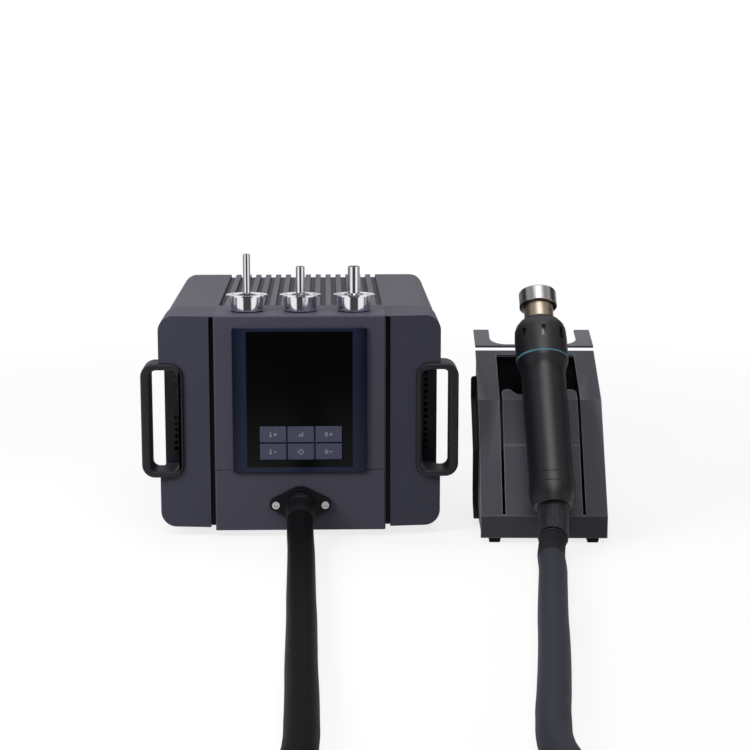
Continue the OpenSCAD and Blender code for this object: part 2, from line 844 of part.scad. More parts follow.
module hose_gland() {
  ear_r = 5.5;
  hub_r = gland_d / 2 - 1;
  spigot_d = duct_d + 2 * duct_wall;
  color(black) on_unit() translate([0, 0, gland_z]) difference() {
    union() {
      along_y(-gland_t, 0) polygon(eye(gland_d / 2, ear_r, gland_screws_w / 2));
      rotate([90, 0, 0]) cylinder(r = hub_r, h = gland_t + gland_hub_t);
      rotate([-90, 0, 0]) cylinder(d = spigot_d, h = slot_d);
    }
    rotate([-90, 0, 0]) translate([0, 0, -gland_t - gland_hub_t - cut])
      cylinder(d = gland_bore, h = slot_d + 2 * gland_t);
    rotate([-90, 0, 0]) translate([0, 0, cast_t]) cylinder(d = duct_d + 2 * screw_fit, h = slot_d);
    translate([0, -gland_t - gland_hub_t, 0]) rotate([90 + boot_slope, 0, 0])
      translate([0, 0, ball_in]) sphere(ball_r + ball_fit);
    both_sides() translate([gland_screws_w / 2, -gland_t - cut, 0]) rotate([-90, 0, 0])
      cylinder(d = screw_d + 2 * screw_fit, h = gland_t + 2 * cut);
  }
}

module gland_screws() {
  head_d = 6.5;
  head_t = 3;
  color(steel) on_unit() both_sides()
    translate([gland_screws_w / 2, -gland_t, gland_z]) rotate([90, 0, 0])
      screw(screw_d, head_d, head_t, gland_t + cast_t + 2);
}

module hose_boot() {
  rib_n = 5;
  rib_deep = 0.6;
  cuff_len = 7.5;
  cuff_r = ball_r - 0.7;
  rib_from = ball_in + 3;
  rib_pitch = (boot_len - cuff_len - rib_from) / rib_n;
  color(black) on_unit() translate([0, -gland_t - gland_hub_t, gland_z])
    rotate([90 + boot_slope, 0, 0]) union() {
      translate([0, 0, ball_in]) sphere(ball_r);
      translate([0, 0, ball_in]) cylinder(r = ball_r - rib_deep, h = boot_len - cuff_len - ball_in);
      for (i = [0:rib_n - 1]) translate([0, 0, rib_from + (i + 0.3) * rib_pitch])
        cylinder(r = ball_r, h = rib_pitch / 2);
      translate([0, 0, boot_len - cuff_len]) cylinder(r = cuff_r, h = cuff_len);
    }
}

// Polygon mesh of a round tube along the points p, with a radius for each, seen along the way "over"
module tube(p, radii, sides, over = [0, 0, 1]) {
  last = len(p) - 1;
  rings = [for (i = [0:last])
    let (t = unit(p[min(i + 1, last)] - p[max(i - 1, 0)]))
    let (across = unit(cross(t, over)))
    let (up = cross(across, t))
    for (k = [0:sides - 1])
      let (a = 360 * (k + 0.5) / sides)
      p[i] + radii[i] * (cos(a) * across + sin(a) * up)];
  walls = [for (i = [0:last - 1], k = [0:sides - 1])
    let (next = (k + 1) % sides)
    [i * sides + k, i * sides + next, (i + 1) * sides + next, (i + 1) * sides + k]];
  polyhedron(rings, concat(walls, [[for (k = [sides - 1:-1:0]) k]],
    [[for (k = [0:sides - 1]) last * sides + k]]), convexity = 4);
}

module air_hose() {
  color(black) tube(hose_route, [for (p = hose_route) hose_d / 2], hose_sides);
}

// Nozzles standing on the front band

// Outline of a nozzle's flange, with a pointed ear at each side
function flange_outline() =
  let (r = (pow(ear_w / 2, 2) + pow(cup_d / 2 + 0.4, 2)) / (cup_d + 0.8))
  let (a = asin(ear_w / 2 / r))
  concat(arc([0, cup_d / 2 + 0.4 - r], r, 90 - a, 90 + a, 16),
    arc([0, r - cup_d / 2 - 0.4], r, 270 - a, 270 + a, 16));

module nozzle(x, tube_d, height) {
  flange_t = 1.2;
  collar_r = max(9, tube_d / 2 + 3);
  collar_h = 3;
  ear_wall = 2.2;
  ear_cut = 4.6;
  ear_x = ear_w / 2 - ear_wall;
  tube_r = tube_d / 2;
  color(steel) on_unit() translate([x, nozzle_y, body_top]) difference() {
    union() {
      cylinder(d = cup_d, h = cup_h);
      along_z(cup_h - flange_t, cup_h) polygon(flange_outline());
      translate([0, 0, cup_h]) cylinder(r1 = collar_r, r2 = tube_r + 1, h = collar_h);
      cylinder(r = tube_r, h = height);
    }
    translate([0, 0, -cut]) cylinder(d = cup_d - 2 * nozzle_t, h = cup_h - flange_t + cut);
    translate([0, 0, -cut]) cylinder(r = tube_r - nozzle_t, h = height + 2 * cut);
    both_sides() along_z(cup_h - flange_t - seam, cup_h + collar_h + cut)
      polygon([[ear_x - ear_cut, -ear_cut / 2], [ear_x, 0], [ear_x - ear_cut, ear_cut / 2]]);
  }
}

module nozzle_small() {
  nozzle(panel_shift - nozzle_pitch, small_d, small_h);
}

module nozzle_medium() {
  nozzle(panel_shift, medium_d, medium_h);
}

module nozzle_large() {
  nozzle(panel_shift + nozzle_pitch, large_d, large_h);
}

// Mains inlet and switch at the rear

module mains_inlet() {
  flange = [31, 25];
  flange_t = 3;
  deep = 20;
  cavity = [24, 16.4];
  cavity_deep = 18;
  corner = 4;
  pin = [4, 2];
  pin_len = 12.5;
  pin_x = 7;
  color(black) on_unit() translate([inlet_at.x, rear_y + sheet_t, inlet_at.y]) union() {
    difference() {
      union() {
        along_y(0, flange_t) translate([-flange.x / 2, -flange.y / 2]) rounded(flange.x, flange.y, 2);
        along_y(-deep, 0) square(inlet_body, center = true);
      }
      along_y(flange_t - cavity_deep, flange_t + cut) polygon([
        [-cavity.x / 2, -cavity.y / 2], [cavity.x / 2, -cavity.y / 2],
        [cavity.x / 2, cavity.y / 2 - corner], [cavity.x / 2 - corner, cavity.y / 2],
        [-cavity.x / 2 + corner, cavity.y / 2], [-cavity.x / 2, cavity.y / 2 - corner]]);
    }
    for (p = [[-pin_x, 0], [0, 3], [pin_x, 0]])
      translate([p.x - pin.y / 2, flange_t - cavity_deep - cut, p.y - pin.x / 2])
        cube([pin.y, pin_len + cut, pin.x]);
  }
}

module rocker_bezel() {
  flange = [27, 31];
  deep = 14;
  hole = [2 * (rocker_half_w + rocker_gap), 2 * (rocker_half_h + 3 * rocker_gap)];
  color(black) on_unit() translate([rocker_at.x, rear_y + sheet_t, rocker_at.y]) difference() {
    union() {
      along_y(0, bezel_t) translate([-flange.x / 2, -flange.y / 2]) rounded(flange.x, flange.y, 2);
      along_y(-deep, 0) square(bezel_body, center = true);
    }
    along_y(bezel_t - deep, bezel_t + cut) square(hole, center = true);
    translate([-bezel_body.x / 2 - cut, bezel_t - pivot_deep, 0]) rotate([0, 90, 0])
      cylinder(d = pivot_d + 2 * shaft_fit, h = bezel_body.x + 2 * cut);
  }
}

module power_rocker() {
  face = 6;
  dip = 1;
  root = 3;
  color(black) on_unit() translate([rocker_at.x, rear_y + sheet_t + bezel_t - pivot_deep, rocker_at.y])
    rotate([-rocker_swing / 2, 0, 0]) union() {
      along_x(-rocker_half_w, rocker_half_w) polygon([
        [face, -rocker_half_h], [face - dip, 0], [face, rocker_half_h],
        [-root, rocker_half_h / 2], [-root, -rocker_half_h / 2]]);
      translate([-bezel_body.x / 2, 0, 0]) rotate([0, 90, 0]) cylinder(d = pivot_d, h = bezel_body.x);
    }
}

// Blower, duct and power board inside the unit

// Outline of the scroll, which widens from the tongue to the outlet, t inside its outer face
module scroll(t) {
  tight = wheel_r + 5;
  polygon([for (i = [0:30])
    let (a = -tongue_turn - i * (360 - tongue_turn) / 30)
    let (r = tight + (blower_r - tight) * i / 30 - t)
    r * [cos(a), sin(a)]]);
}

module blower_housing() {
  in_x = blower_x - outlet_half;
  reach = blower_y - outlet_y;
  outlet_w = blower_r - in_x;
  intake_r = 20;
  mid = gland_z - floor_z;
  color(top_grey) on_unit() translate([-blower_x, blower_y, floor_z]) difference() {
    union() {
      along_z(0, blower_h) scroll(0);
      translate([in_x, -reach, 0]) cube([outlet_w, reach, blower_h]);
    }
    along_z(blower_wall, blower_h - blower_wall) scroll(blower_wall);
    translate([in_x + blower_wall, -reach + blower_wall, blower_wall])
      cube([outlet_w - 2 * blower_wall, reach, blower_h - 2 * blower_wall]);
    translate([blower_x, -reach - cut, mid]) rotate([-90, 0, 0])
      cylinder(d = duct_d + 2 * screw_fit, h = blower_wall + 2 * cut);
    translate([0, 0, -cut]) cylinder(r = intake_r, h = blower_wall + 2 * cut);
    translate([0, 0, blower_h - blower_wall - cut])
      cylinder(d = shaft_d + 4, h = blower_wall + 2 * cut);
  }
}

module blower_impeller() {
  disc_t = 2;
  hub_r = 8;
  blade_t = 1.6;
  blade_in = 18;
  blade_len = 20;
  blade_turn = 35;
  shaft_len = blower_h - wheel_low + motor_h / 2;
  color(steel) on_unit() translate([-blower_x, blower_y, floor_z + wheel_low]) {
    translate([0, 0, wheel_h - disc_t]) cylinder(r = wheel_r, h = disc_t);
    cylinder(r = hub_r, h = wheel_h);
    cylinder(d = shaft_d, h = shaft_len);
    intersection() {
      cylinder(r = wheel_r, h = wheel_h);
      for (i = [0:blade_n - 1]) rotate([0, 0, i * 360 / blade_n]) translate([blade_in, 0, 0])
        rotate([0, 0, blade_turn]) cube([blade_len + 8, blade_t, wheel_h]);
    }
  }
}

module blower_motor() {
  color(black) on_unit() translate([-blower_x, blower_y, floor_z + blower_h]) difference() {
    cylinder(d = motor_d, h = motor_h);
    translate([0, 0, -cut]) cylinder(d = shaft_d + 2 * shaft_fit, h = motor_h / 2 + 2 * cut);
  }
}

module air_duct() {
  color(black) on_unit() translate([0, slot_d, gland_z]) rotate([-90, 0, 0]) difference() {
    translate([0, 0, cast_t - slot_d]) cylinder(d = duct_d, h = outlet_y + blower_wall - cast_t);
    translate([0, 0, cast_t - slot_d - cut])
      cylinder(d = duct_d - 2 * duct_wall, h = outlet_y + blower_wall + 2 * cut);
  }
}

module power_board() {
  z = floor_z + power_board_z;
  size = [power_board_x[1] - power_board_x[0], power_board_y[1] - power_board_y[0]];
  capacitor = [8, 26];
  capacitor_y = 24;
  transformer = [40, 34, 30];
  transformer_y = 60;
  sink = [58, 36, 34];
  sink_y = 112;
  sink_floor = 5;
  sink_fin = 3;
  fin_n = 6;
  color(board_green) on_unit() translate([power_board_x[0], power_board_y[0], z]) {
    cube([size.x, size.y, board_t]);
    for (i = [-1:1]) translate([size.x / 2 + 2.5 * i * capacitor[0], capacitor_y, board_t])
      cylinder(r = capacitor[0], h = capacitor[1]);
    translate([(size.x - transformer.x) / 2, transformer_y, board_t]) cube(transformer);
    translate([(size.x - sink.x) / 2, sink_y, board_t]) {
      cube([sink.x, sink.y, sink_floor]);
      for (i = [0:fin_n - 1]) translate([i * (sink.x - sink_fin) / (fin_n - 1), 0, 0])
        cube([sink_fin, sink.y, sink.z]);
    }
  }
}

// Stand

module stand_shell() {
  slit_end = lip_z + 2;
  relief_d = 3;
  tongue_r = 5;
  window_end = brow_y - 6;
  side_x = tongue_half + slit_w;
  dip_top = 25;
  dip_low = 19;
  seam_w = 0.8;
  seam_deep = 0.5;
  seam_at = [crease_y, crease_z] - tongue_seam * slope_dir;
  color(side_grey) on_stand() difference() {
    along_x(-stand_half, stand_half)
      polygon(concat(shell_line, reversed(inner_line(shell_line, stand_t))));
    translate([-side_x, tongue_y, crease_z]) cube([2 * side_x, window_end - tongue_y, brow_z]);
    both_sides() translate([tongue_half, -cut, slit_end]) cube([slit_w, tongue_y + 2 * cut, brow_z]);
    both_sides() translate([tongue_half + slit_w / 2, -cut, slit_end]) rotate([-90, 0, 0])
      cylinder(d = relief_d, h = 12);
    along_z(crease_z, brow_z) polygon([
      [-dip_top, tongue_y + cut], [-dip_top, tongue_y], [-dip_low, tongue_y - tongue_dip],
      [dip_low, tongue_y - tongue_dip], [dip_top, tongue_y], [dip_top, tongue_y + cut]]);
    translate([-tongue_half, seam_at.x, seam_at.y]) rotate([slope, 0, 0])
      translate([0, -seam_w / 2, -seam_deep]) cube([2 * tongue_half, seam_w, seam_deep + cut]);
    both_sides() translate([0, 0, crease_z]) linear_extrude(brow_z - crease_z) difference() {
      translate([tongue_half - tongue_r, tongue_y - tongue_r]) square(tongue_r + cut);
      translate([tongue_half - tongue_r, tongue_y - tongue_r]) circle(tongue_r);
    }
  }
}

module stand_base() {
  inner = inner_line(shell_line, stand_t);
  back = [[foot_back, base_z], [foot_back + 22, base_z + 8], [foot_back + 27, base_z + 20],
    [foot_back + 28, cross_z - 37], [brow_y - 31, cross_z - 23], [brow_y - 8, cross_z - 7],
    [fork_y, cross_z]];
  outline = concat([[stand_t, base_z]], back,
    [[fork_y, cross_z + cross_h], [fork_y - stand_t, cross_z + cross_h + 3], inner[3], inner[2],
      inner[1]]);
  wall_x = stand_half - wall_in;
  back_half = stand_half + back_flange;
  back_r = 3;
  color(black) on_stand() {
    both_sides() along_x(wall_x - stand_t, wall_x) polygon(outline);
    translate([-wall_x, stand_t, base_z]) cube([2 * wall_x, foot_back - stand_t, stand_t]);
    along_x(-back_half, back_half) polygon(concat(back, reversed(inner_line(back, -stand_t))));
    difference() {
      along_y(fork_y - stand_t, fork_y) {
        translate([-wall_x, cross_z]) square([2 * wall_x, brow_z - stand_t - cross_z]);
        translate([-back_half, cross_z]) square([2 * back_half, cross_h / 2]);
        translate([-back_half, cross_z]) rounded(2 * back_half, cross_h + back_r, back_r);
      }
      both_sides() translate([neck_half / 2, fork_y - stand_t - cut, cross_z + cross_h / 2])
        rotate([-90, 0, 0]) cylinder(d = screw_d + 2 * screw_fit, h = stand_t + 2 * cut);
    }
  }
}

module holder_fork() {
  web = 3.5;
  line = [[fork_y, fork_z], [fork_y + fork_d, fork_z + fork_rise]];
  neck_low = cross_z + 2;
  color(top_grey) on_stand() difference() {
    union() {
      along_x(-stand_half, stand_half) polygon(concat(line, reversed(inner_line(line, stand_t))));
      translate([-neck_half, fork_y, neck_low])
        cube([2 * neck_half, stand_t, fork_z - stand_t / 2 - neck_low]);
    }
    along_z(fork_z - 3 * stand_t, fork_z + 2 * fork_rise)
      translate([-notch_w / 2, fork_y + web]) rounded(notch_w, fork_d + notch_r, notch_r);
    both_sides() translate([neck_half / 2, fork_y - cut, cross_z + cross_h / 2])
      rotate([-90, 0, 0]) cylinder(d = screw_d + 2 * screw_fit, h = stand_t + 2 * cut);
  }
}

module stand_screws() {
  color(steel) on_stand() both_sides()
    translate([neck_half / 2, fork_y + stand_t, cross_z + cross_h / 2]) rotate([-90, 0, 0])
      screw(screw_d, screw_head_d, screw_head_t, 2 * stand_t + 2);
}

module stand_feet() {
  foot_w = 11;
  foot_len = 10;
  foot_x = stand_half - 11.8;
  color(black) on_stand() both_sides() for (y = [stand_t + 1, foot_back - foot_len])
    translate([foot_x, y, 0]) along_y(0, foot_len)
      polygon([[-foot_w / 2 + 1, 0], [foot_w / 2 - 1, 0], [foot_w / 2, base_z], [-foot_w / 2, base_z]]);
}

module sleep_magnet() {
  up = 52;
  magnet_r = 5;
  magnet_t = 3;
  at = [0, lip_z] + up * slope_dir - (stand_t + seam / 2) * slope_out;
  color(steel) on_stand() translate([tail_side / 2, at.x, at.y]) rotate([slope, 0, 0])
    translate([0, 0, -magnet_t]) cylinder(r = magnet_r, h = magnet_t);
}

// Handpiece, each piece turned about its axis with the tail at z = 0

module tail_cap() {
  r = cap_d / 2;
  low = -6;
  mouth_r = 16.4;
  bore_r = sleeve_d / 2 + 0.4;
  air_r = 8;
  floor_s = 6;
  color(black) on_gun() turned([
    [bore_r, low], [mouth_r, low], [r - 0.7, 2], [r, 7], [r, cap_len], [air_r, cap_len],
    [air_r, floor_s], [bore_r, floor_s]]);
}

module tail_ring() {
  r = grip_tail_d / 2 + 0.3;
  color(black) on_gun() turned([
    [r - wall, cap_len], [r - 0.6, cap_len], [r, cap_len + 0.6], [r, tail_len - 0.6],
    [r - 0.6, tail_len], [r - wall, tail_len]]);
}

module grip_barrel() {
  r0 = grip_tail_d / 2;
  r1 = grip_tube_d / 2;
  rim_r = shroud_d / 2 - 0.3;
  color(black) on_gun() turned([
    [r0 - wall, tail_len], [r0, tail_len], [r1, grip_len], [r1 + 0.6, grip_len + 4],
    [r1 + 1.9, grip_len + 8], [rim_r, flare_s - 1], [rim_r, flare_s], [rim_r - wall, flare_s],
    [r1 - wall + 0.6, grip_len + 4], [r1 - wall, grip_len - 2]]);
}

module accent_ring() {
  r = shroud_d / 2 - 0.2;
  color(teal) on_gun() turned([
    [r - wall, flare_s], [r, flare_s], [r, shroud_s], [r - wall, shroud_s]]);
}

module head_shroud() {
  r = shroud_d / 2;
  thin = 2;
  mouth_r = heater_d / 2 + 0.6;
  slot_n = 8;
  slot_w = 3.4;
  slot_h = 10.5;
  slot_s = shroud_s + 12.5;
  end = shroud_end;
  color(black) on_gun() difference() {
    turned([
      [r, shroud_s], [r, end - 19], [r - 0.5, end - 11], [r - 1.9, end - 7], [r - 4.9, end - 3],
      [r - 7.5, end - 1], [r - 9, end], [mouth_r, end], [mouth_r, end - thin],
      [r - 5.7 - thin, end - 3.6], [r - 2.2 - thin, end - 8], [r - thin, end - 19], [r - thin, shroud_s]]);
    for (i = [0:slot_n / 2 - 1]) rotate([0, 0, i * 360 / slot_n])
      translate([-slot_w / 2, -r - cut, slot_s]) cube([slot_w, 2 * (r + cut), slot_h]);
  }
}

module insulation_sleeve() {
  r = heater_d / 2 + 3.4;
  foot_r = shroud_d / 2 - wall - 0.3;
  color(ceramic) on_gun() turned([
    [heater_d / 2 + 0.2, shroud_s], [foot_r, shroud_s], [foot_r, shroud_s + 2], [r, shroud_s + 2],
    [r, shroud_end - 8], [heater_d / 2 + 0.2, shroud_end - 8]]);
}

module heater_tube() {
  r = heater_d / 2;
  from = shroud_s - 2;
  to = socket_s + socket_skirt;
  color(straw) on_gun() turned([
    [r - tube_wall, from], [r, from], [r, to], [r - tube_wall, to]]);
}

module nozzle_socket() {
  r = socket_d / 2;
  bore = socket_bore / 2;
  skirt_r = r - 1.2;
  floor_s = socket_s + socket_skirt;
  round_r = 1.6;
  color(steel) on_gun() turned(concat(
    [[skirt_r, socket_s], [r, socket_s]],
    arc([r - round_r, socket_end - round_r], round_r, 0, 90, 4),
    [[bore, socket_end], [bore, floor_s + socket_floor], [heater_d / 2 - 1.4, floor_s + socket_floor],
      [heater_d / 2 - 1.4, floor_s], [skirt_r, floor_s]]));
}

module heater_core() {
  r = 9;
  flange_r = heater_d / 2 - tube_wall - 0.3;
  foot_r = grip_tube_d / 2 - wall - 0.3;
  from = grip_len - 16;
  to = socket_s - 2;
  flange_t = 3;
  color(ceramic) on_gun() difference() {
    turned([
      [0, from], [foot_r, from], [foot_r, from + flange_t], [r, from + flange_t],
      [r, to - flange_t], [flange_r, to - flange_t], [flange_r, to], [0, to]]);
    for (i = [0:5]) rotate([0, 0, i * 60]) translate([r / 1.7, 0, from - cut])
      cylinder(r = r / 4.5, h = to - from + 2 * cut);
  }
}

module hose_sleeve() {
  r = sleeve_d / 2;
  rib_n = 16;
  groove = 0.6;
  spigot_len = 5.6;
  sides = 20;
  step = sleeve_angle / rib_n;
  // Shares of a rib's length at which the radius changes, and the radius there
  section = [[0, 0], [0.2, 1], [0.8, 1], [0.999, 0]];
  way = [-sin(sleeve_lean), -cos(sleeve_lean), 0];
  stations = concat([[-1, 0]], [for (i = [0:rib_n - 1], q = section) [(i + q[0]) * step, q[1]]]);
  color(black) on_gun() tube(
    [for (q = stations) q[0] < 0 ? [0, 0, spigot_len]
      : sleeve_bend * ((1 - cos(q[0])) * way - sin(q[0]) * [0, 0, 1])],
    [for (q = stations) r - groove * (1 - q[1])], sides, cross([0, 0, 1], way));
}

base_plate();
left_side_cover();
right_side_cover();
fin_cover();
left_front_cover();
right_front_cover();
front_frame();
lower_front_panel();
rear_panel();
slot_trims();
display_glass();
display_module();
key_board();
key(0, 1);  // temp_up_key
key(1, 1);  // channel_key
key(2, 1);  // air_up_key
key(0, 0);  // temp_down_key
key(1, 0);  // power_key
key(2, 0);  // air_down_key
left_handle();
right_handle();
left_vent_grille();
right_vent_grille();
station_feet();
hose_gland();
gland_screws();
hose_boot();
nozzle_small();
nozzle_medium();
nozzle_large();
mains_inlet();
rocker_bezel();
power_rocker();
blower_housing();
blower_impeller();
blower_motor();
air_duct();
power_board();
control_board();
base_screws();
rear_screws();
stand_shell();
stand_base();
holder_fork();
stand_feet();
stand_screws();
sleep_magnet();
grip_barrel();
tail_ring();
tail_cap();
hose_sleeve();
head_shroud();
accent_ring();
insulation_sleeve();
heater_tube();
nozzle_socket();
heater_core();
air_hose();
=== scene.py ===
# %% [markdown]
# # A hot air rework station
# The solids of this bench tool come packed, at their real size and place. This lesson gives them
# their finish: paint on cast and folded metal, moulded plastic, dark glass, polished nozzles and a
# rubber hose. Each piece keeps its place, and rides on the body that moves it.

# %% The fixed frame
import json
import math
import bmesh
import bpy
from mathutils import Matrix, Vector, kdtree
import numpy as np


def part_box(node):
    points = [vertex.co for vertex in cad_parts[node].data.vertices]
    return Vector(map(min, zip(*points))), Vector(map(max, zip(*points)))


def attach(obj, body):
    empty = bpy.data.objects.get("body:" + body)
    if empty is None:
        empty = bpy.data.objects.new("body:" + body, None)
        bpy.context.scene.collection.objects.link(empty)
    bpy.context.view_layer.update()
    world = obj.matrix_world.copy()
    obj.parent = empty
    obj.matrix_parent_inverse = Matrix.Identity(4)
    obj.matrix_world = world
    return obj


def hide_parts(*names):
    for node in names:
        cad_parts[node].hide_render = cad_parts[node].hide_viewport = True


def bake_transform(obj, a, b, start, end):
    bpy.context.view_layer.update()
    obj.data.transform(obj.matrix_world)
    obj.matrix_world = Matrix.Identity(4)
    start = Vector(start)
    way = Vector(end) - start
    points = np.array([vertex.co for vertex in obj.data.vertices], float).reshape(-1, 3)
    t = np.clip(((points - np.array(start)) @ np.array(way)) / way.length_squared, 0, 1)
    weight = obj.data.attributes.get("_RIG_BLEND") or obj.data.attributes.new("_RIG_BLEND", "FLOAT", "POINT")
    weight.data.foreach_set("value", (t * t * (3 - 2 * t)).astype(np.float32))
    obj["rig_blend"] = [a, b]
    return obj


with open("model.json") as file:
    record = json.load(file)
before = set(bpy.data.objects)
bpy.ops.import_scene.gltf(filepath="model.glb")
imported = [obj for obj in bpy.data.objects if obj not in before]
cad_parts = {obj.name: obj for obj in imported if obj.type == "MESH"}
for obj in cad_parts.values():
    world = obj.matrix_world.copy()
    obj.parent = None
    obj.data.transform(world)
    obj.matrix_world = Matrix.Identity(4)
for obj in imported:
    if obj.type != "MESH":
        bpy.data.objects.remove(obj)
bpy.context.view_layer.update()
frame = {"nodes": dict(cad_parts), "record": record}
MM = 0.001
parts = frame["record"]["behaviour"]["bodies"]
home = {node: body for body, nodes in parts.items() for node in nodes}
finish_of = {s["node"]: s["material_slot"] for s in frame["record"]["subparts"]}

# %% [markdown]
# ## The camera
# The photograph was taken from the front, a little above, with a long lens, so that the unit's
# sides hardly show. The lens, place and tilt below put the front's four corners where the
# photograph has them.

# %% Camera
camera = bpy.data.objects.new("camera", bpy.data.cameras.new("camera"))
camera.data.sensor_width = 36
camera.data.lens = 86.88
camera.location = (-0.0425, -1.5904, 0.4045)
camera.rotation_euler = (math.radians(79.85), 0, math.radians(-1.55))
bpy.context.scene.collection.objects.link(camera)
bpy.context.scene.camera = camera
bpy.context.scene.view_settings.view_transform = "Standard"
print("lens", camera.data.lens, "mm")

# %% [markdown]
# ## Colours and shader helpers
# A colour is easiest to judge as a screen shows it, from 0 to 255. Shaders work in linear light,
# so `rgb` turns the one into the other. The other helpers each add one or two nodes to a tree and
# return the socket that carries the result, so that a material reads like a line of arithmetic.

# %% Colour and node helpers
def rgb(r, g, b):
    """A screen colour as linear light, with full opacity."""
    def linear(c):
        c = c / 255
        return c / 12.92 if c < 0.04045 else ((c + 0.055) / 1.055) ** 2.4
    return (linear(r), linear(g), linear(b), 1)


def scaled(color, k):
    return tuple(min(1, c * k) for c in color[:3]) + (1,)


def give(tree, socket, value):
    """Links the value to the socket, or sets it where it is a plain number or colour."""
    if isinstance(value, bpy.types.NodeSocket):
        tree.links.new(value, socket)
    else:
        socket.default_value = value


def calc(tree, operation, *values):
    """One step of arithmetic."""
    node = tree.nodes.new("ShaderNodeMath")
    node.operation = operation
    for socket, value in zip(node.inputs, values):
        give(tree, socket, value)
    return node.outputs[0]


def ranged(tree, value, low, high, start=0.0, end=1.0):
    """The value, moved from start..end to low..high and held there."""
    node = tree.nodes.new("ShaderNodeMapRange")
    for name, number in (("From Min", start), ("From Max", end), ("To Min", low), ("To Max", high)):
        node.inputs[name].default_value = number
    tree.links.new(value, node.inputs["Value"])
    return node.outputs["Result"]


def mixed(tree, factor, a, b):
    """A colour between a and b."""
    node = tree.nodes.new("ShaderNodeMix")
    node.data_type = "RGBA"
    give(tree, node.inputs["Factor"], factor)
    give(tree, node.inputs[6], a)
    give(tree, node.inputs[7], b)
    return node.outputs[2]


def axes(tree, way):
    """The three numbers of a vector."""
    split = tree.nodes.new("ShaderNodeSeparateXYZ")
    tree.links.new(way, split.inputs[0])
    return split.outputs["X"], split.outputs["Y"], split.outputs["Z"]


def coordinates(tree, kind="Object"):
    return tree.nodes.new("ShaderNodeTexCoord").outputs[kind]


# %% [markdown]
# ## Finishes
# Every finish starts from the same small network: a wide, faint noise changes the colour, a finer
# one the roughness, and the finest one is a bump. Only the scales and amounts differ between
# sprayed metal, moulded plastic and rubber. Numbers that are the same all over stay on the
# shader's own sockets.

# %% Finish helper
def noise(tree, scale, detail=2.0, stretch=(1, 1, 1)):
    """A noise on object coordinates, stretched along an axis where the finish has a direction."""
    mapping = tree.nodes.new("ShaderNodeMapping")
    mapping.inputs["Scale"].default_value = stretch
    tree.links.new(coordinates(tree), mapping.inputs["Vector"])
    node = tree.nodes.new("ShaderNodeTexNoise")
    node.inputs["Scale"].default_value = scale
    node.inputs["Detail"].default_value = detail
    tree.links.new(mapping.outputs["Vector"], node.inputs["Vector"])
    return node.outputs["Fac"]


def bumped(tree, height, distance, strength=0.6, under=None):
    """A bump of that height, on top of another one where there is one."""
    node = tree.nodes.new("ShaderNodeBump")
    node.inputs["Distance"].default_value = distance
    node.inputs["Strength"].default_value = strength
    tree.links.new(height, node.inputs["Height"])
    if under:
        tree.links.new(under, node.inputs["Normal"])
    return node.outputs["Normal"]


def finish(name, color, rough, metal=0.0, grain=1500, depth=0.00004, spread=0.08, cloud=25,
           rough_spread=0.06, stretch=(1, 1, 1), specular=0.5):
    """A surface with faint clouds of colour, uneven gloss and a fine grain."""
    mat = bpy.data.materials.new(name)
    mat.use_nodes = True
    tree = mat.node_tree
    shader = tree.nodes["Principled BSDF"]
    shader.inputs["Metallic"].default_value = metal
    shader.inputs["Specular IOR Level"].default_value = specular
    clouds = noise(tree, cloud, 3)
    tree.links.new(mixed(tree, clouds, scaled(color, 1 - spread), scaled(color, 1 + spread)),
                   shader.inputs["Base Color"])
    uneven = noise(tree, grain / 4, 3, stretch)
    tree.links.new(ranged(tree, uneven, rough - rough_spread, rough + rough_spread),
                   shader.inputs["Roughness"])
    tree.links.new(bumped(tree, noise(tree, grain, 2, stretch), depth), shader.inputs["Normal"])
    return mat


# %% [markdown]
# ## The paints, plastics and metals
# The unit and the stand are sprayed with dark, slightly violet greys with a fine texture. The
# handles, the handpiece and the small mouldings are black, the nozzles polished, and the heater
# tube has taken the straw tint of hot steel. Most pieces wear the finish of their own slot. A few
# differ a little from their neighbours in the same slot, so `own_finish` lists them by name.

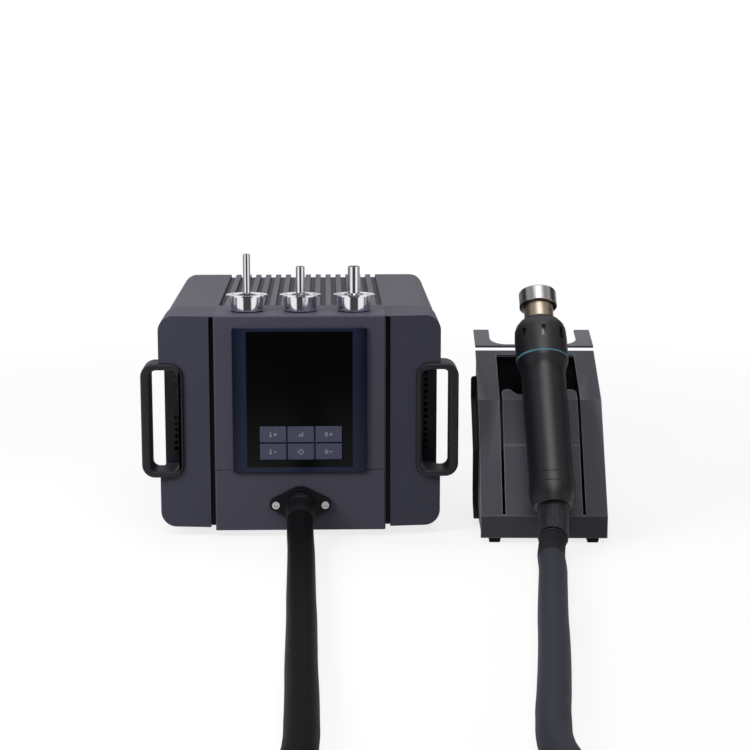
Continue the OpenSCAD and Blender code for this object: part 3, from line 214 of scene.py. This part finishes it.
# %% Materials of the nodes
finishes = {
    "front_paint": finish("front_paint", rgb(71, 70, 84), 0.5, grain=2600, specular=0.25),
    "side_paint": finish("side_paint", rgb(61, 61, 75), 0.5, grain=2600, specular=0.25),
    "cover_paint": finish("cover_paint", rgb(70, 69, 78), 0.5, grain=2600, specular=0.3),
    "fin_paint": finish("fin_paint", rgb(81, 80, 91), 0.5, grain=2600, specular=0.3),
    "base_paint": finish("base_paint", rgb(24, 24, 27), 0.5, grain=2200, specular=0.2),
    "stand_paint": finish("stand_paint", rgb(60, 59, 67), 0.5, grain=2600, specular=0.25),
    "black_plastic": finish("black_plastic", rgb(33, 33, 38), 0.45, grain=1800, specular=0.3),
    "display_glass": finish("display_glass", rgb(34, 40, 61), 0.14, grain=300, depth=0.000002,
                            spread=0.05, rough_spread=0.02, specular=0.1),
    "key_plastic": finish("key_plastic", rgb(76, 78, 98), 0.45, grain=2400, specular=0.2),
    "foot_rubber": finish("foot_rubber", rgb(20, 20, 21), 0.75, grain=1200, depth=0.0001,
                          specular=0.2),
    "hose_rubber": finish("hose_rubber", rgb(17, 17, 20), 0.45, grain=900, depth=0.00006,
                          spread=0.2, specular=0.4),
    "grip_plastic": finish("grip_plastic", rgb(16, 16, 21), 0.42, grain=1600, specular=0.65),
    "accent_plastic": finish("accent_plastic", rgb(70, 110, 122), 0.35, grain=1600, specular=0.3),
    "polished_steel": finish("polished_steel", rgb(232, 231, 236), 0.11, metal=1.0, grain=500,
                             depth=0.000004, rough_spread=0.03, stretch=(1, 1, 0.15)),
    "socket_steel": finish("socket_steel", rgb(206, 203, 204), 0.2, metal=1.0, grain=900,
                           depth=0.00001, rough_spread=0.06),
    "heater_steel": finish("heater_steel", rgb(202, 186, 166), 0.34, metal=1.0, grain=900,
                           depth=0.000008, rough_spread=0.06),
    "screw_steel": finish("screw_steel", rgb(186, 186, 190), 0.28, metal=1.0, grain=1400),
    "ceramic": finish("ceramic", rgb(236, 232, 224), 0.7, grain=1500, depth=0.00006),
    "blower_metal": finish("blower_metal", rgb(120, 120, 124), 0.5, grain=1500),
    "impeller_metal": finish("impeller_metal", rgb(190, 190, 194), 0.35, metal=1.0, grain=900),
    "board": finish("board", rgb(30, 84, 52), 0.45, grain=700),
    "deep_black": finish("deep_black", rgb(13, 13, 16), 0.5, grain=1800, specular=0.2),
    # The fork's paint is the cover paint made lighter: painted light for the near-level fork plate, which
    # catches more of the top light.
    "fork_lit_paint": finish("fork_lit_paint", rgb(91, 90, 97), 0.5, grain=2600, specular=0.3),
    "ribbed_rubber": finish("ribbed_rubber", rgb(15, 15, 18), 0.42, grain=900, depth=0.00006,
                            spread=0.2, specular=0.45),
}
own_finish = {"slot_trims": "deep_black", "hose_gland": "deep_black", "holder_fork": "fork_lit_paint",
              "hose_sleeve": "ribbed_rubber", "fin_cover": "fin_paint"}
print(len(finishes), "finishes,", len(own_finish), "nodes with their own")

# %% [markdown]
# ## Painted shade in grooves and at feet, painted highlights on edges
# Little light gets into the grooves of the top cover, or under the rim on which a nozzle stands,
# so a darker colour is laid over both by height: painted shade. The folds and slots of the stand's
# sheet and the ribs of the hose sleeve get fine pale lines, painted highlights where the edges
# catch the light. A Bevel node turns the normal within its radius of an edge, so the pale colour
# comes in where the turned normal and the flat one disagree.

# %% Painted shade by height
def shade_by_height(mat, low, high, color):
    """Lays a darker colour over a finish as painted shade, whole at the first height and gone at the second.
    """
    tree = mat.node_tree
    base = tree.nodes["Principled BSDF"].inputs["Base Color"]
    z = axes(tree, coordinates(tree))[2]
    shade = ranged(tree, z, 1, 0, low, high)
    tree.links.new(mixed(tree, shade, base.links[0].from_socket, color), base)


GROOVE = 2.8 * MM
FOOT_SHADE = (0.5 * MM, 1.1 * MM)
fin_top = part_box("fin_cover")[1][2]
cup_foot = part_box("nozzle_small")[0][2]
# Painted shade: a darker colour in the fins' grooves and round the foot of each cup.
shade_by_height(finishes["fin_paint"], fin_top - 0.9 * GROOVE, fin_top - 0.1 * GROOVE, rgb(40, 39, 46))
shade_by_height(finishes["polished_steel"], *(cup_foot + h for h in FOOT_SHADE), rgb(52, 52, 56))
print("fins up to", round(fin_top, 4), "m, cups stand at", round(cup_foot, 4), "m")


# %% Painted highlights at the edges
def edge_highlight(mat, radius, color, share=0.7, agreement=(0.965, 0.998)):
    """Paints a pale highlight onto a finish within the radius of an edge, where the two normals agree least.
    """
    tree = mat.node_tree
    base = tree.nodes["Principled BSDF"].inputs["Base Color"]
    rounded = tree.nodes.new("ShaderNodeBevel")
    rounded.inputs["Radius"].default_value = radius
    flat = tree.nodes.new("ShaderNodeNewGeometry")
    agree = tree.nodes.new("ShaderNodeVectorMath")
    agree.operation = "DOT_PRODUCT"
    tree.links.new(rounded.outputs["Normal"], agree.inputs[0])
    tree.links.new(flat.outputs["True Normal"], agree.inputs[1])
    highlight = ranged(tree, agree.outputs["Value"], share, 0, *agreement)
    tree.links.new(mixed(tree, highlight, base.links[0].from_socket, color), base)


# Painted highlights along the stand's folds and slots and on the sleeve's ribs.
edge_highlight(finishes["stand_paint"], 1.1 * MM, rgb(134, 133, 142))
edge_highlight(finishes["ribbed_rubber"], 0.4 * MM, rgb(66, 66, 74))
print("paler edges on the stand and on the hose sleeve")

# %% Every node gets its finish
for node, obj in frame["nodes"].items():
    obj.data.materials.clear()
    obj.data.materials.append(finishes[own_finish.get(node, finish_of[node])])
print(len(frame["nodes"]), "nodes finished")

# %% [markdown]
# ## The display glass
# One sheet of glass covers the display and frames the keys. Its back is printed: black behind the
# display and round the keys, dark blue in the rim. The print is drawn from the distance to the
# window's edge, which is below zero inside the window.

# %% Window of the display
WINDOW_MIDDLE = (-0.06525, 0.1184)
WINDOW_HALF = (0.04405, 0.05733)
INK_EDGE = 0.4 * MM
RIM_FADE = (3 * MM, 12 * MM)


def printed(mat, middle, half):
    """Blackens the glass inside a window, and lets the rim grow darker outwards."""
    tree = mat.node_tree
    base = tree.nodes["Principled BSDF"].inputs["Base Color"]
    x, _, z = axes(tree, coordinates(tree))
    beyond = [calc(tree, "SUBTRACT", calc(tree, "ABSOLUTE", calc(tree, "SUBTRACT", value, m)), h)
              for value, m, h in zip((x, z), middle, half)]
    outside = calc(tree, "MAXIMUM", *beyond)
    rim = mixed(tree, ranged(tree, outside, 0, 1, *RIM_FADE), base.links[0].from_socket,
                rgb(19, 21, 34))
    inked = ranged(tree, outside, 0, 1, 0, INK_EDGE)
    tree.links.new(mixed(tree, inked, rgb(5, 6, 6), rim), base)


printed(finishes["display_glass"], WINDOW_MIDDLE, WINDOW_HALF)
print("window", 2 * WINDOW_HALF[0], "by", 2 * WINDOW_HALF[1], "m")

# %% [markdown]
# ## Soft edges
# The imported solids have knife-sharp edges, which no cast, folded or moulded piece has, and an edge
# without a radius catches no light. So each visible node gets a twin: its loose triangles are
# merged, flat faces are joined, and a narrow bevel rounds what is left. The twin replaces the node.
# Folded sheet also gets its shallow creases rounded, so its bevel starts at a smaller angle. The
# widths are in millimetres: a thin casting or a bent handle is rounder than a screw.

# %% A twin with rounded edges
SAME_POINT = 0.002 * MM
SAME_PLANE = math.radians(0.4)


def placed(name, mesh, mat, body):
    """The mesh as a piece of the object, on its body."""
    piece = bpy.data.objects.new(name, mesh)
    bpy.context.scene.collection.objects.link(piece)
    mesh.materials.clear()
    mesh.materials.append(mat)
    if body:
        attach(piece, body)
    return piece


def softened(node, width, segments=2, sharp=32):
    """A twin of a node with its edges rounded, which replaces it."""
    mesh = frame["nodes"][node].data.copy()
    bm = bmesh.new()
    bm.from_mesh(mesh)
    bmesh.ops.remove_doubles(bm, verts=bm.verts, dist=SAME_POINT)
    bmesh.ops.dissolve_limit(bm, angle_limit=SAME_PLANE, verts=bm.verts, edges=bm.edges)
    bm.to_mesh(mesh)
    bm.free()
    mat = frame["nodes"][node].data.materials[0]
    piece = placed(node + "_skin", mesh, mat, home[node])
    bevel = piece.modifiers.new("soft edges", "BEVEL")
    bevel.width = width
    bevel.segments = segments
    bevel.limit_method = "ANGLE"
    bevel.angle_limit = math.radians(sharp)
    bevel.use_clamp_overlap = True
    bevel.harden_normals = True
    mesh.shade_smooth()
    mesh.set_sharp_from_angle(angle=math.radians(sharp))
    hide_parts(node)


# %% Widths of the bevels
WIDTHS = {
    0.9: ["left_front_cover", "right_front_cover"],
    0.6: ["stand_base", "station_feet", "stand_feet"],
    0.5: ["front_frame", "lower_front_panel", "fin_cover"],
    0.4: ["left_side_cover", "right_side_cover", "rear_panel", "hose_gland", "display_glass",
          "base_plate"],
    0.3: ["temp_up_key", "channel_key", "air_up_key", "temp_down_key", "power_key",
          "air_down_key", "rocker_bezel", "mains_inlet", "power_rocker"],
    2.2: ["left_handle", "right_handle"],
    0.15: ["nozzle_small", "nozzle_medium", "nozzle_large", "nozzle_socket", "heater_tube",
           "gland_screws", "rear_screws", "base_screws", "stand_screws"],
    0.25: ["grip_barrel", "tail_ring", "tail_cap", "head_shroud", "accent_ring", "hose_boot",
           "hose_sleeve", "insulation_sleeve"],
}
for width, nodes in WIDTHS.items():
    for node in nodes:
        softened(node, width * MM, 4 if width > 1 else 2)
FOLDED = ("stand_shell", "holder_fork")
for node in FOLDED:
    softened(node, 0.5 * MM, sharp=20)
print("rounded", len(FOLDED) + sum(len(nodes) for nodes in WIDTHS.values()), "nodes")

# %% [markdown]
# The collar between a nozzle's flange and its tube is a low dish in the photograph, so the twins'
# cones are pressed down to a third of their height.

# %% Collars of the nozzles
FLANGE_TOP = 14 * MM
COLLAR_H = 3 * MM
PRESSED = 0.34
SLACK = 0.02 * COLLAR_H
for node in ("nozzle_small", "nozzle_medium", "nozzle_large"):
    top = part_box(node)[0][2] + FLANGE_TOP
    cone = [v for v in bpy.data.objects[node + "_skin"].data.vertices
            if SLACK < v.co.z - top < COLLAR_H + SLACK]
    for vertex in cone:
        vertex.co.z = top + (vertex.co.z - top) * PRESSED
    print(node, "collar of", len(cone), "points")

# %% [markdown]
# ## Signs on the keys
# Each key carries a small printed sign: a thermometer or three streams of air with plus or minus,
# rising bars for the channel, and the common ring with a line for power. A sign is a set of flat
# outlines in millimetres from the key's middle, extruded by the thickness of thick ink. It rides
# on its key.

# %% Outlines of the signs
SIGN_T = 0.05 * MM
legend_ink = finish("legend_ink", rgb(150, 158, 184), 0.5, grain=2000, specular=0.2)


def bar(x, z, w, h):
    """A rectangle about (x, z)."""
    a, b = w / 2, h / 2
    return [(x - a, z - b), (x + a, z - b), (x + a, z + b), (x - a, z + b)]


def curve_points(x, z, r, start, end, n=16):
    """Points on a circle about (x, z), from one angle in degrees to another."""
    turns = [math.radians(start + (end - start) * i / n) for i in range(n + 1)]
    return [(x + r * math.cos(a), z + r * math.sin(a)) for a in turns]


def open_ring(x, z, r, t):
    """A ring of width t, open at its top."""
    return curve_points(x, z, r, 125, 415) + curve_points(x, z, r - t, 415, 125)


def plus(x, z, w, t):
    """A cross of two bars."""
    a, b = w / 2, t / 2
    return [(x + p, z + q) for p, q in (
        (-b, -a), (b, -a), (b, -b), (a, -b), (a, b), (b, b), (b, a), (-b, a), (-b, b), (-a, b),
        (-a, -b), (-b, -b))]


heat = [bar(-2, 0.6, 0.8, 2.8), curve_points(-2, -1.2, 0.9, 0, 337.5, 15)]
air = [bar(-2, z, 2.8, 0.6) for z in (-1.3, 0, 1.3)]
more, less = [plus(1.9, 0, 2.6, 0.7)], [bar(1.9, 0, 2.6, 0.7)]
SIGNS = {
    "temp_up_key": heat + more, "temp_down_key": heat + less,
    "air_up_key": air + more, "air_down_key": air + less,
    "channel_key": [bar(1.5 * i, i * 0.5 - 0.5, 0.8, 2.4 + i) for i in (-1, 0, 1)],
    "power_key": [open_ring(0, 0, 2.2, 0.6), bar(0, 1.5, 0.6, 2.2)],
}
print({key: len(outlines) for key, outlines in SIGNS.items()}, "outlines")

# %% The signs, in ink
for key, outlines in SIGNS.items():
    low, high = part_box(key)
    middle = [(a + b) / 2 for a, b in zip(low, high)]
    bm = bmesh.new()
    for outline in outlines:
        face = bm.faces.new([bm.verts.new((middle[0] + x * MM, low[1], middle[2] + z * MM))
                             for x, z in outline])
        grown = bmesh.ops.extrude_face_region(bm, geom=[face])["geom"]
        bmesh.ops.translate(bm, verts=[v for v in grown if isinstance(v, bmesh.types.BMVert)],
                            vec=(0, -SIGN_T, 0))
    bmesh.ops.recalc_face_normals(bm, faces=bm.faces)
    mesh = bpy.data.meshes.new(key + "_sign")
    bm.to_mesh(mesh)
    bm.free()
    placed(key + "_sign", mesh, legend_ink, home[key])
print(len(SIGNS), "signs")

# %% [markdown]
# ## The air hose
# The hose is a soft rubber tube, 22 mm thick and a metre and a half long. It leaves the boot at the
# unit's front, lies on the bench, turns in one wide bend in front of the station and comes back to
# the handpiece. A curve through listed points gives one smooth line, and its tube becomes a mesh
# whose points keep how far along the hose they lie. No point may sink into the bench. The mesh is
# cut in two in the bend: the unit's half stays on the bench, and only the other half moves when the
# handpiece is lifted, with its bend over the last dozen of the points below.

# %% Route of the hose
HOSE_D = 0.022
HOSE_LINE = [
    (-0.065, -0.1347, 0.02073), (-0.065, -0.1385, 0.01935), (-0.065, -0.147, 0.0163),
    (-0.0645, -0.162, 0.0125), (-0.064, -0.177, 0.01105), (-0.0635, -0.201, 0.01105),
    (-0.063, -0.236, 0.01105), (-0.0625, -0.276, 0.01105), (-0.062, -0.316, 0.01105),
    (-0.061, -0.366, 0.01105), (-0.0605, -0.416, 0.01105), (-0.06, -0.466, 0.01105),
    (-0.059, -0.516, 0.01105), (-0.0585, -0.561, 0.01105), (-0.0585, -0.596, 0.01105),
    (-0.061, -0.629, 0.01105), (-0.071, -0.666, 0.01105), (-0.084, -0.706, 0.01105),
    (-0.088, -0.746, 0.01105), (-0.076, -0.786, 0.01105), (-0.048, -0.817, 0.01105),
    (-0.01, -0.833, 0.01105), (0.032, -0.831, 0.01105), (0.07, -0.812, 0.01105),
    (0.097, -0.78, 0.01105), (0.109, -0.74, 0.01105), (0.106, -0.698, 0.01105),
    (0.096, -0.655, 0.01105), (0.089, -0.612, 0.01105), (0.0925, -0.561, 0.01105),
    (0.0985, -0.516, 0.01105), (0.105, -0.466, 0.01105), (0.111, -0.416, 0.01105),
    (0.1165, -0.366, 0.01105), (0.122, -0.321, 0.01105), (0.127, -0.281, 0.01105),
    (0.1313, -0.246, 0.01105), (0.1334, -0.22, 0.01105), (0.13475, -0.2073, 0.01105),
    (0.1359, -0.1989, 0.01146), (0.13725, -0.1905, 0.0127), (0.13872, -0.1824, 0.01473),
    (0.13961, -0.17772, 0.01627)]
print(len(HOSE_LINE), "points set by hand")


# %% A tube that knows its length
def curve_mesh(name, line, radius):
    """The mesh of a smooth tube along the line, or of the line itself for radius 0."""
    curve = bpy.data.curves.new(name, "CURVE")
    curve.dimensions = "3D"
    curve.resolution_u = 8
    curve.bevel_depth = radius
    curve.bevel_resolution = 8
    curve.use_fill_caps = radius > 0
    spline = curve.splines.new("BEZIER")
    spline.bezier_points.add(len(line) - 1)
    for point, place in zip(spline.bezier_points, line):
        point.co = place
        point.handle_left_type = point.handle_right_type = "AUTO"
    holder = bpy.data.objects.new(name, curve)
    bpy.context.scene.collection.objects.link(holder)
    bpy.context.view_layer.update()
    mesh = bpy.data.meshes.new_from_object(holder)
    bpy.data.objects.remove(holder)
    return mesh


def path_length(path):
    return sum((b - a).length for a, b in zip(path, path[1:]))


def write_along(mesh, path):
    """Gives each point of a tube its distance along the path, in metres."""
    lengths = [path_length(path[:i + 1]) for i in range(len(path))]
    tree = kdtree.KDTree(len(path))
    for i, point in enumerate(path):
        tree.insert(point, i)
    tree.balance()
    along = mesh.attributes.new("along", "FLOAT", "POINT")
    for i, vertex in enumerate(mesh.vertices):
        along.data[i].value = lengths[tree.find(vertex.co)[1]]
    return lengths[-1]


def cut_out(tube, name, low, high):
    """The part of a tube from one distance along it to another, closed where it is cut."""
    bm = bmesh.new()
    bm.from_mesh(tube)
    along = bm.verts.layers.float["along"]
    rest = [f for f in bm.faces
            if not low < sum(v[along] for v in f.verts) / len(f.verts) < high]
    bmesh.ops.delete(bm, geom=rest, context="FACES")
    bmesh.ops.holes_fill(bm, edges=[e for e in bm.edges if e.is_boundary])
    mesh = bpy.data.meshes.new(name)
    bm.to_mesh(mesh)
    bm.free()
    mesh.shade_smooth()
    mesh.set_sharp_from_angle(angle=math.radians(60))
    return mesh


hose_path = [v.co.copy() for v in curve_mesh("hose_line", HOSE_LINE, 0).vertices]
hose_mesh = curve_mesh("air_hose", HOSE_LINE, HOSE_D / 2)
hose_length = write_along(hose_mesh, hose_path)
for vertex in hose_mesh.vertices:
    vertex.co.z = max(vertex.co.z, 0)
print("hose", round(hose_length, 3), "m")


# %% The two halves
hose_skin = finish("hose_skin", rgb(10, 10, 12), 0.6, grain=900, depth=0.00008, spread=0.2,
                   specular=0.12)
half_way = len(hose_path) // 2
cut = path_length(hose_path[:half_way + 1])
unit_mesh = cut_out(hose_mesh, "unit half", -math.inf, cut)
tool_mesh = cut_out(hose_mesh, "tool half", cut, math.inf)
unit_half = placed("air_hose_unit_half", unit_mesh, hose_skin, "root")
tool_half = placed("air_hose_tool_half", tool_mesh, hose_skin, None)
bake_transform(tool_half, "root", "handpiece", start=HOSE_LINE[-12], end=HOSE_LINE[-1])
for half, path in ((unit_half, hose_path[:half_way + 1]), (tool_half, hose_path[half_way:])):
    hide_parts("air_hose")
print("cut at", round(cut, 3), "m")

# %% [markdown]
# The half of the hose near the handpiece wears a greyer sheath, which stops short of the ribbed
# sleeve. Between the two the rubber shows its own fine rings, bumped, with a painted highlight on
# their crests. All three are drawn from the stored length along the hose.

# %% Sheath and rings of the hose
SHEATH = (0.6, 0.7)
BARE = 45 * MM
RING_PITCH = 3.2 * MM
RING_H = 1 * MM


def sheathed(mat, total):
    """Adds the sheath's colour, and the rings of the bare end as bumps with a painted highlight on their
    crests.
    """
    tree = mat.node_tree
    shader = tree.nodes["Principled BSDF"]
    attribute = tree.nodes.new("ShaderNodeAttribute")
    attribute.attribute_name = "along"
    along = attribute.outputs["Fac"]
    bare = ranged(tree, along, 0, 1, total - BARE - MM, total - BARE)
    covered = calc(tree, "SUBTRACT", ranged(tree, along, 0, 1, *SHEATH), bare)
    rubber = shader.inputs["Base Color"].links[0].from_socket
    wave = calc(tree, "SINE", calc(tree, "MULTIPLY", along, 2 * math.pi / RING_PITCH))
    rings = calc(tree, "MULTIPLY", wave, bare)
    skin = mixed(tree, covered, rubber, rgb(45, 46, 53))
    # Painted highlight: the crests of the rings are drawn paler, as where they catch the light.
    tree.links.new(mixed(tree, ranged(tree, rings, 0, 1, 0.2, 0.9), skin, rgb(64, 64, 72)),
                   shader.inputs["Base Color"])
    grain = shader.inputs["Normal"].links[0].from_socket
    tree.links.new(bumped(tree, rings, RING_H, 1, grain), shader.inputs["Normal"])


sheathed(hose_skin, hose_length)
print("sheath from", SHEATH[0], "m to", round(hose_length - BARE, 3), "m")

# %% [markdown]
# ## The room that reflections see
# Polished metal shows what stands round it, so for reflections the room is a light tent. White
# walls stand to the left and right of the camera, with a dark gap between them. Beside the station
# it is dim, and from there it grows white towards the back, up to a hair-thin seam. High in front
# hangs a card that draws the one bright line down the handpiece, and the top is white. Ground,
# walls and card are colour ramps over the direction of a ray, from the camera's side (0) round to
# straight behind the station (1), where two stops make the seam. The pairs are heights between
# which one gives way to the next, from 0 for a level ray to 1 for one straight up.

# %% Walls, card and top
GROUND = [(0, 0.06), (0.138, 0.06), (0.16, 1), (0.37, 1), (0.4, 0.3), (0.48, 0.25), (0.5, 0.6),
          (0.52, 0.6), (0.54, 0.25), (0.62, 0.04), (1, 1), (1, 0.04)]
WALLS = [(0, 0.08), (0.14, 0.08), (0.17, 0.9), (0.37, 0.9), (0.42, 0.25), (0.62, 0.15),
         (0.75, 0.15), (0.88, 0.5), (1, 1), (1, 0.5)]
CARD = [(0, 0.95), (0.05, 0.95), (0.11, 0), (1, 1), (1, 0)]
WALLS_END = (0.12, 0.36)
CARD_STARTS = (0.4, 0.6)
TOP_STARTS = (0.8, 0.88)


def lit_by(tree, way, stops):
    """The brightness in the direction of a vector, by stops from 0 to 1 round a half turn."""
    x, y, _ = axes(tree, way)
    turn = calc(tree, "ABSOLUTE", calc(tree, "ARCTAN2", x, calc(tree, "MULTIPLY", y, -1)))
    ramp = tree.nodes.new("ShaderNodeValToRGB")
    tree.links.new(calc(tree, "DIVIDE", turn, math.pi), ramp.inputs["Fac"])
    points = ramp.color_ramp.elements
    for at, _ in stops[1:-1]:
        points.new(at)
    for point, (_, value) in zip(points, stops):
        point.color = (value, value, value, 1)
    return ramp.outputs["Color"]


def tent(tree, way):
    """The brightness of the whole tent in the direction of a vector."""
    up = axes(tree, way)[2]
    walls = calc(tree, "MULTIPLY", lit_by(tree, way, WALLS), ranged(tree, up, 1, 0.05, *WALLS_END))
    card = calc(tree, "MULTIPLY", lit_by(tree, way, CARD), ranged(tree, up, 0, 1, *CARD_STARTS))
    top = ranged(tree, up, 0, 1, *TOP_STARTS)
    return calc(tree, "MAXIMUM", calc(tree, "MAXIMUM", walls, card), top)


print(len(WALLS), "stops round the walls,", len(GROUND), "round the ground")


# %% [markdown]
# ## Floor and background
# The station stands on a plain white ground that keeps its soft shadow. For the camera the ground
# fades into the white world, so no horizon shows. Mirrors see that ground too, white near the
# station and striped like the walls further out. Light that bounces gets a darker ground and a
# weak sky, so that the lamps alone model the forms. Light Path tells the kinds of ray apart.

# %% Kinds of ray
def rays(tree):
    """Whether a ray comes from the camera, and whether from a mirror or through glass."""
    paths = tree.nodes.new("ShaderNodeLightPath")
    glossy, through = paths.outputs["Is Glossy Ray"], paths.outputs["Is Transmission Ray"]
    return paths.outputs["Is Camera Ray"], calc(tree, "MAXIMUM", glossy, through)


# %% Floor
FLOOR_HALF = 20
floor_mesh = bpy.data.meshes.new("floor")
bm = bmesh.new()
bmesh.ops.create_grid(bm, x_segments=1, y_segments=1, size=FLOOR_HALF)
bm.to_mesh(floor_mesh)
bm.free()
floor = bpy.data.objects.new("floor", floor_mesh)
bpy.context.scene.collection.objects.link(floor)
print("floor", 2 * FLOOR_HALF, "m wide")

# %% [markdown]
# The floor mixes a matte surface, which catches the shadow, with a glow of strength 1, which is
# white. The share of the glow grows with the distance from the middle. The pairs below are such
# distances in metres, and the two greys of the matte surface: for light that bounces, and as seen.

# %% Material of the floor
MIRRORED_WHITE = (0.4, 0.8)
SHADOW_ENDS = (0.4, 1)
WHITE_IN_SHADOW = 0.8
MATTE = (0.18, 0.85)
floor_mat = bpy.data.materials.new("pale floor")
floor_mat.use_nodes = True
tree = floor_mat.node_tree
tree.nodes.remove(tree.nodes["Principled BSDF"])
by_camera, mirrored = rays(tree)
seen = calc(tree, "MAXIMUM", by_camera, mirrored)
place = coordinates(tree)
x, y, _ = axes(tree, place)
square = calc(tree, "ADD", calc(tree, "MULTIPLY", x, x), calc(tree, "MULTIPLY", y, y))
away = calc(tree, "SQRT", square)
near = ranged(tree, away, 1, 0, *MIRRORED_WHITE)
room = calc(tree, "MAXIMUM", near, lit_by(tree, place, GROUND))
matte = tree.nodes.new("ShaderNodeBsdfDiffuse")
tree.links.new(ranged(tree, seen, *MATTE), matte.inputs["Color"])
glow = tree.nodes.new("ShaderNodeEmission")
tree.links.new(calc(tree, "MAXIMUM", by_camera, room), glow.inputs["Strength"])
blend = tree.nodes.new("ShaderNodeMixShader")
white = ranged(tree, away, WHITE_IN_SHADOW, 1, *SHADOW_ENDS)
tree.links.new(calc(tree, "MULTIPLY", seen, white), blend.inputs[0])
tree.links.new(matte.outputs[0], blend.inputs[1])
tree.links.new(glow.outputs[0], blend.inputs[2])
tree.links.new(blend.outputs[0], tree.nodes["Material Output"].inputs["Surface"])
floor_mesh.materials.append(floor_mat)
print("shadow kept within", SHADOW_ENDS[1], "m")

# %% World
SKY = 0.1
world = bpy.data.worlds.new("studio")
bpy.context.scene.world = world
world.use_nodes = True
tree = world.node_tree
by_camera, mirrored = rays(tree)
way = coordinates(tree, "Generated")
shown = calc(tree, "MAXIMUM", by_camera, calc(tree, "MULTIPLY", mirrored, tent(tree, way)))
faint = calc(tree, "MULTIPLY", calc(tree, "SUBTRACT", 1, mirrored), SKY)
back = tree.nodes["Background"]
back.inputs["Color"].default_value = (1, 1, 1, 1)
tree.links.new(calc(tree, "MAXIMUM", shown, faint), back.inputs["Strength"])
print("sky of", SKY, "for light that bounces")

# %% [markdown]
# ## Lamps
# Four square lamps model the forms: a large one from above, a little behind, which lays the soft
# shadow in front of the station, one high in front, and one low on each side. Metal shows only the
# front lamp, because the tent already gives it its reflections.

# %% Four soft lamps
def softbox(name, place, aim, size, power, mirrored=False):
    """A square lamp at a place, turned to a point. Metal shows only those that are mirrored."""
    light = bpy.data.lights.new(name, "AREA")
    light.size = size
    light.energy = power
    lamp = bpy.data.objects.new(name, light)
    lamp.location = place
    lamp.rotation_euler = (Vector(aim) - Vector(place)).to_track_quat("-Z", "Y").to_euler()
    lamp.visible_glossy = mirrored
    bpy.context.scene.collection.objects.link(lamp)
    print(name, power, "W")


softbox("top light", (0.05, 0.5, 1.55), (0, 0.05, 0.15), 1.2, 14)
softbox("front light", (0.15, -0.95, 1.25), (0.14, -0.1, 0.15), 0.8, 6, mirrored=True)
softbox("left light", (-0.7, -0.5, 0.6), (-0.12, -0.1, 0.1), 0.5, 7.5)
softbox("right light", (1.25, -0.3, 0.6), (0.14, -0.1, 0.1), 0.5, 3.5)
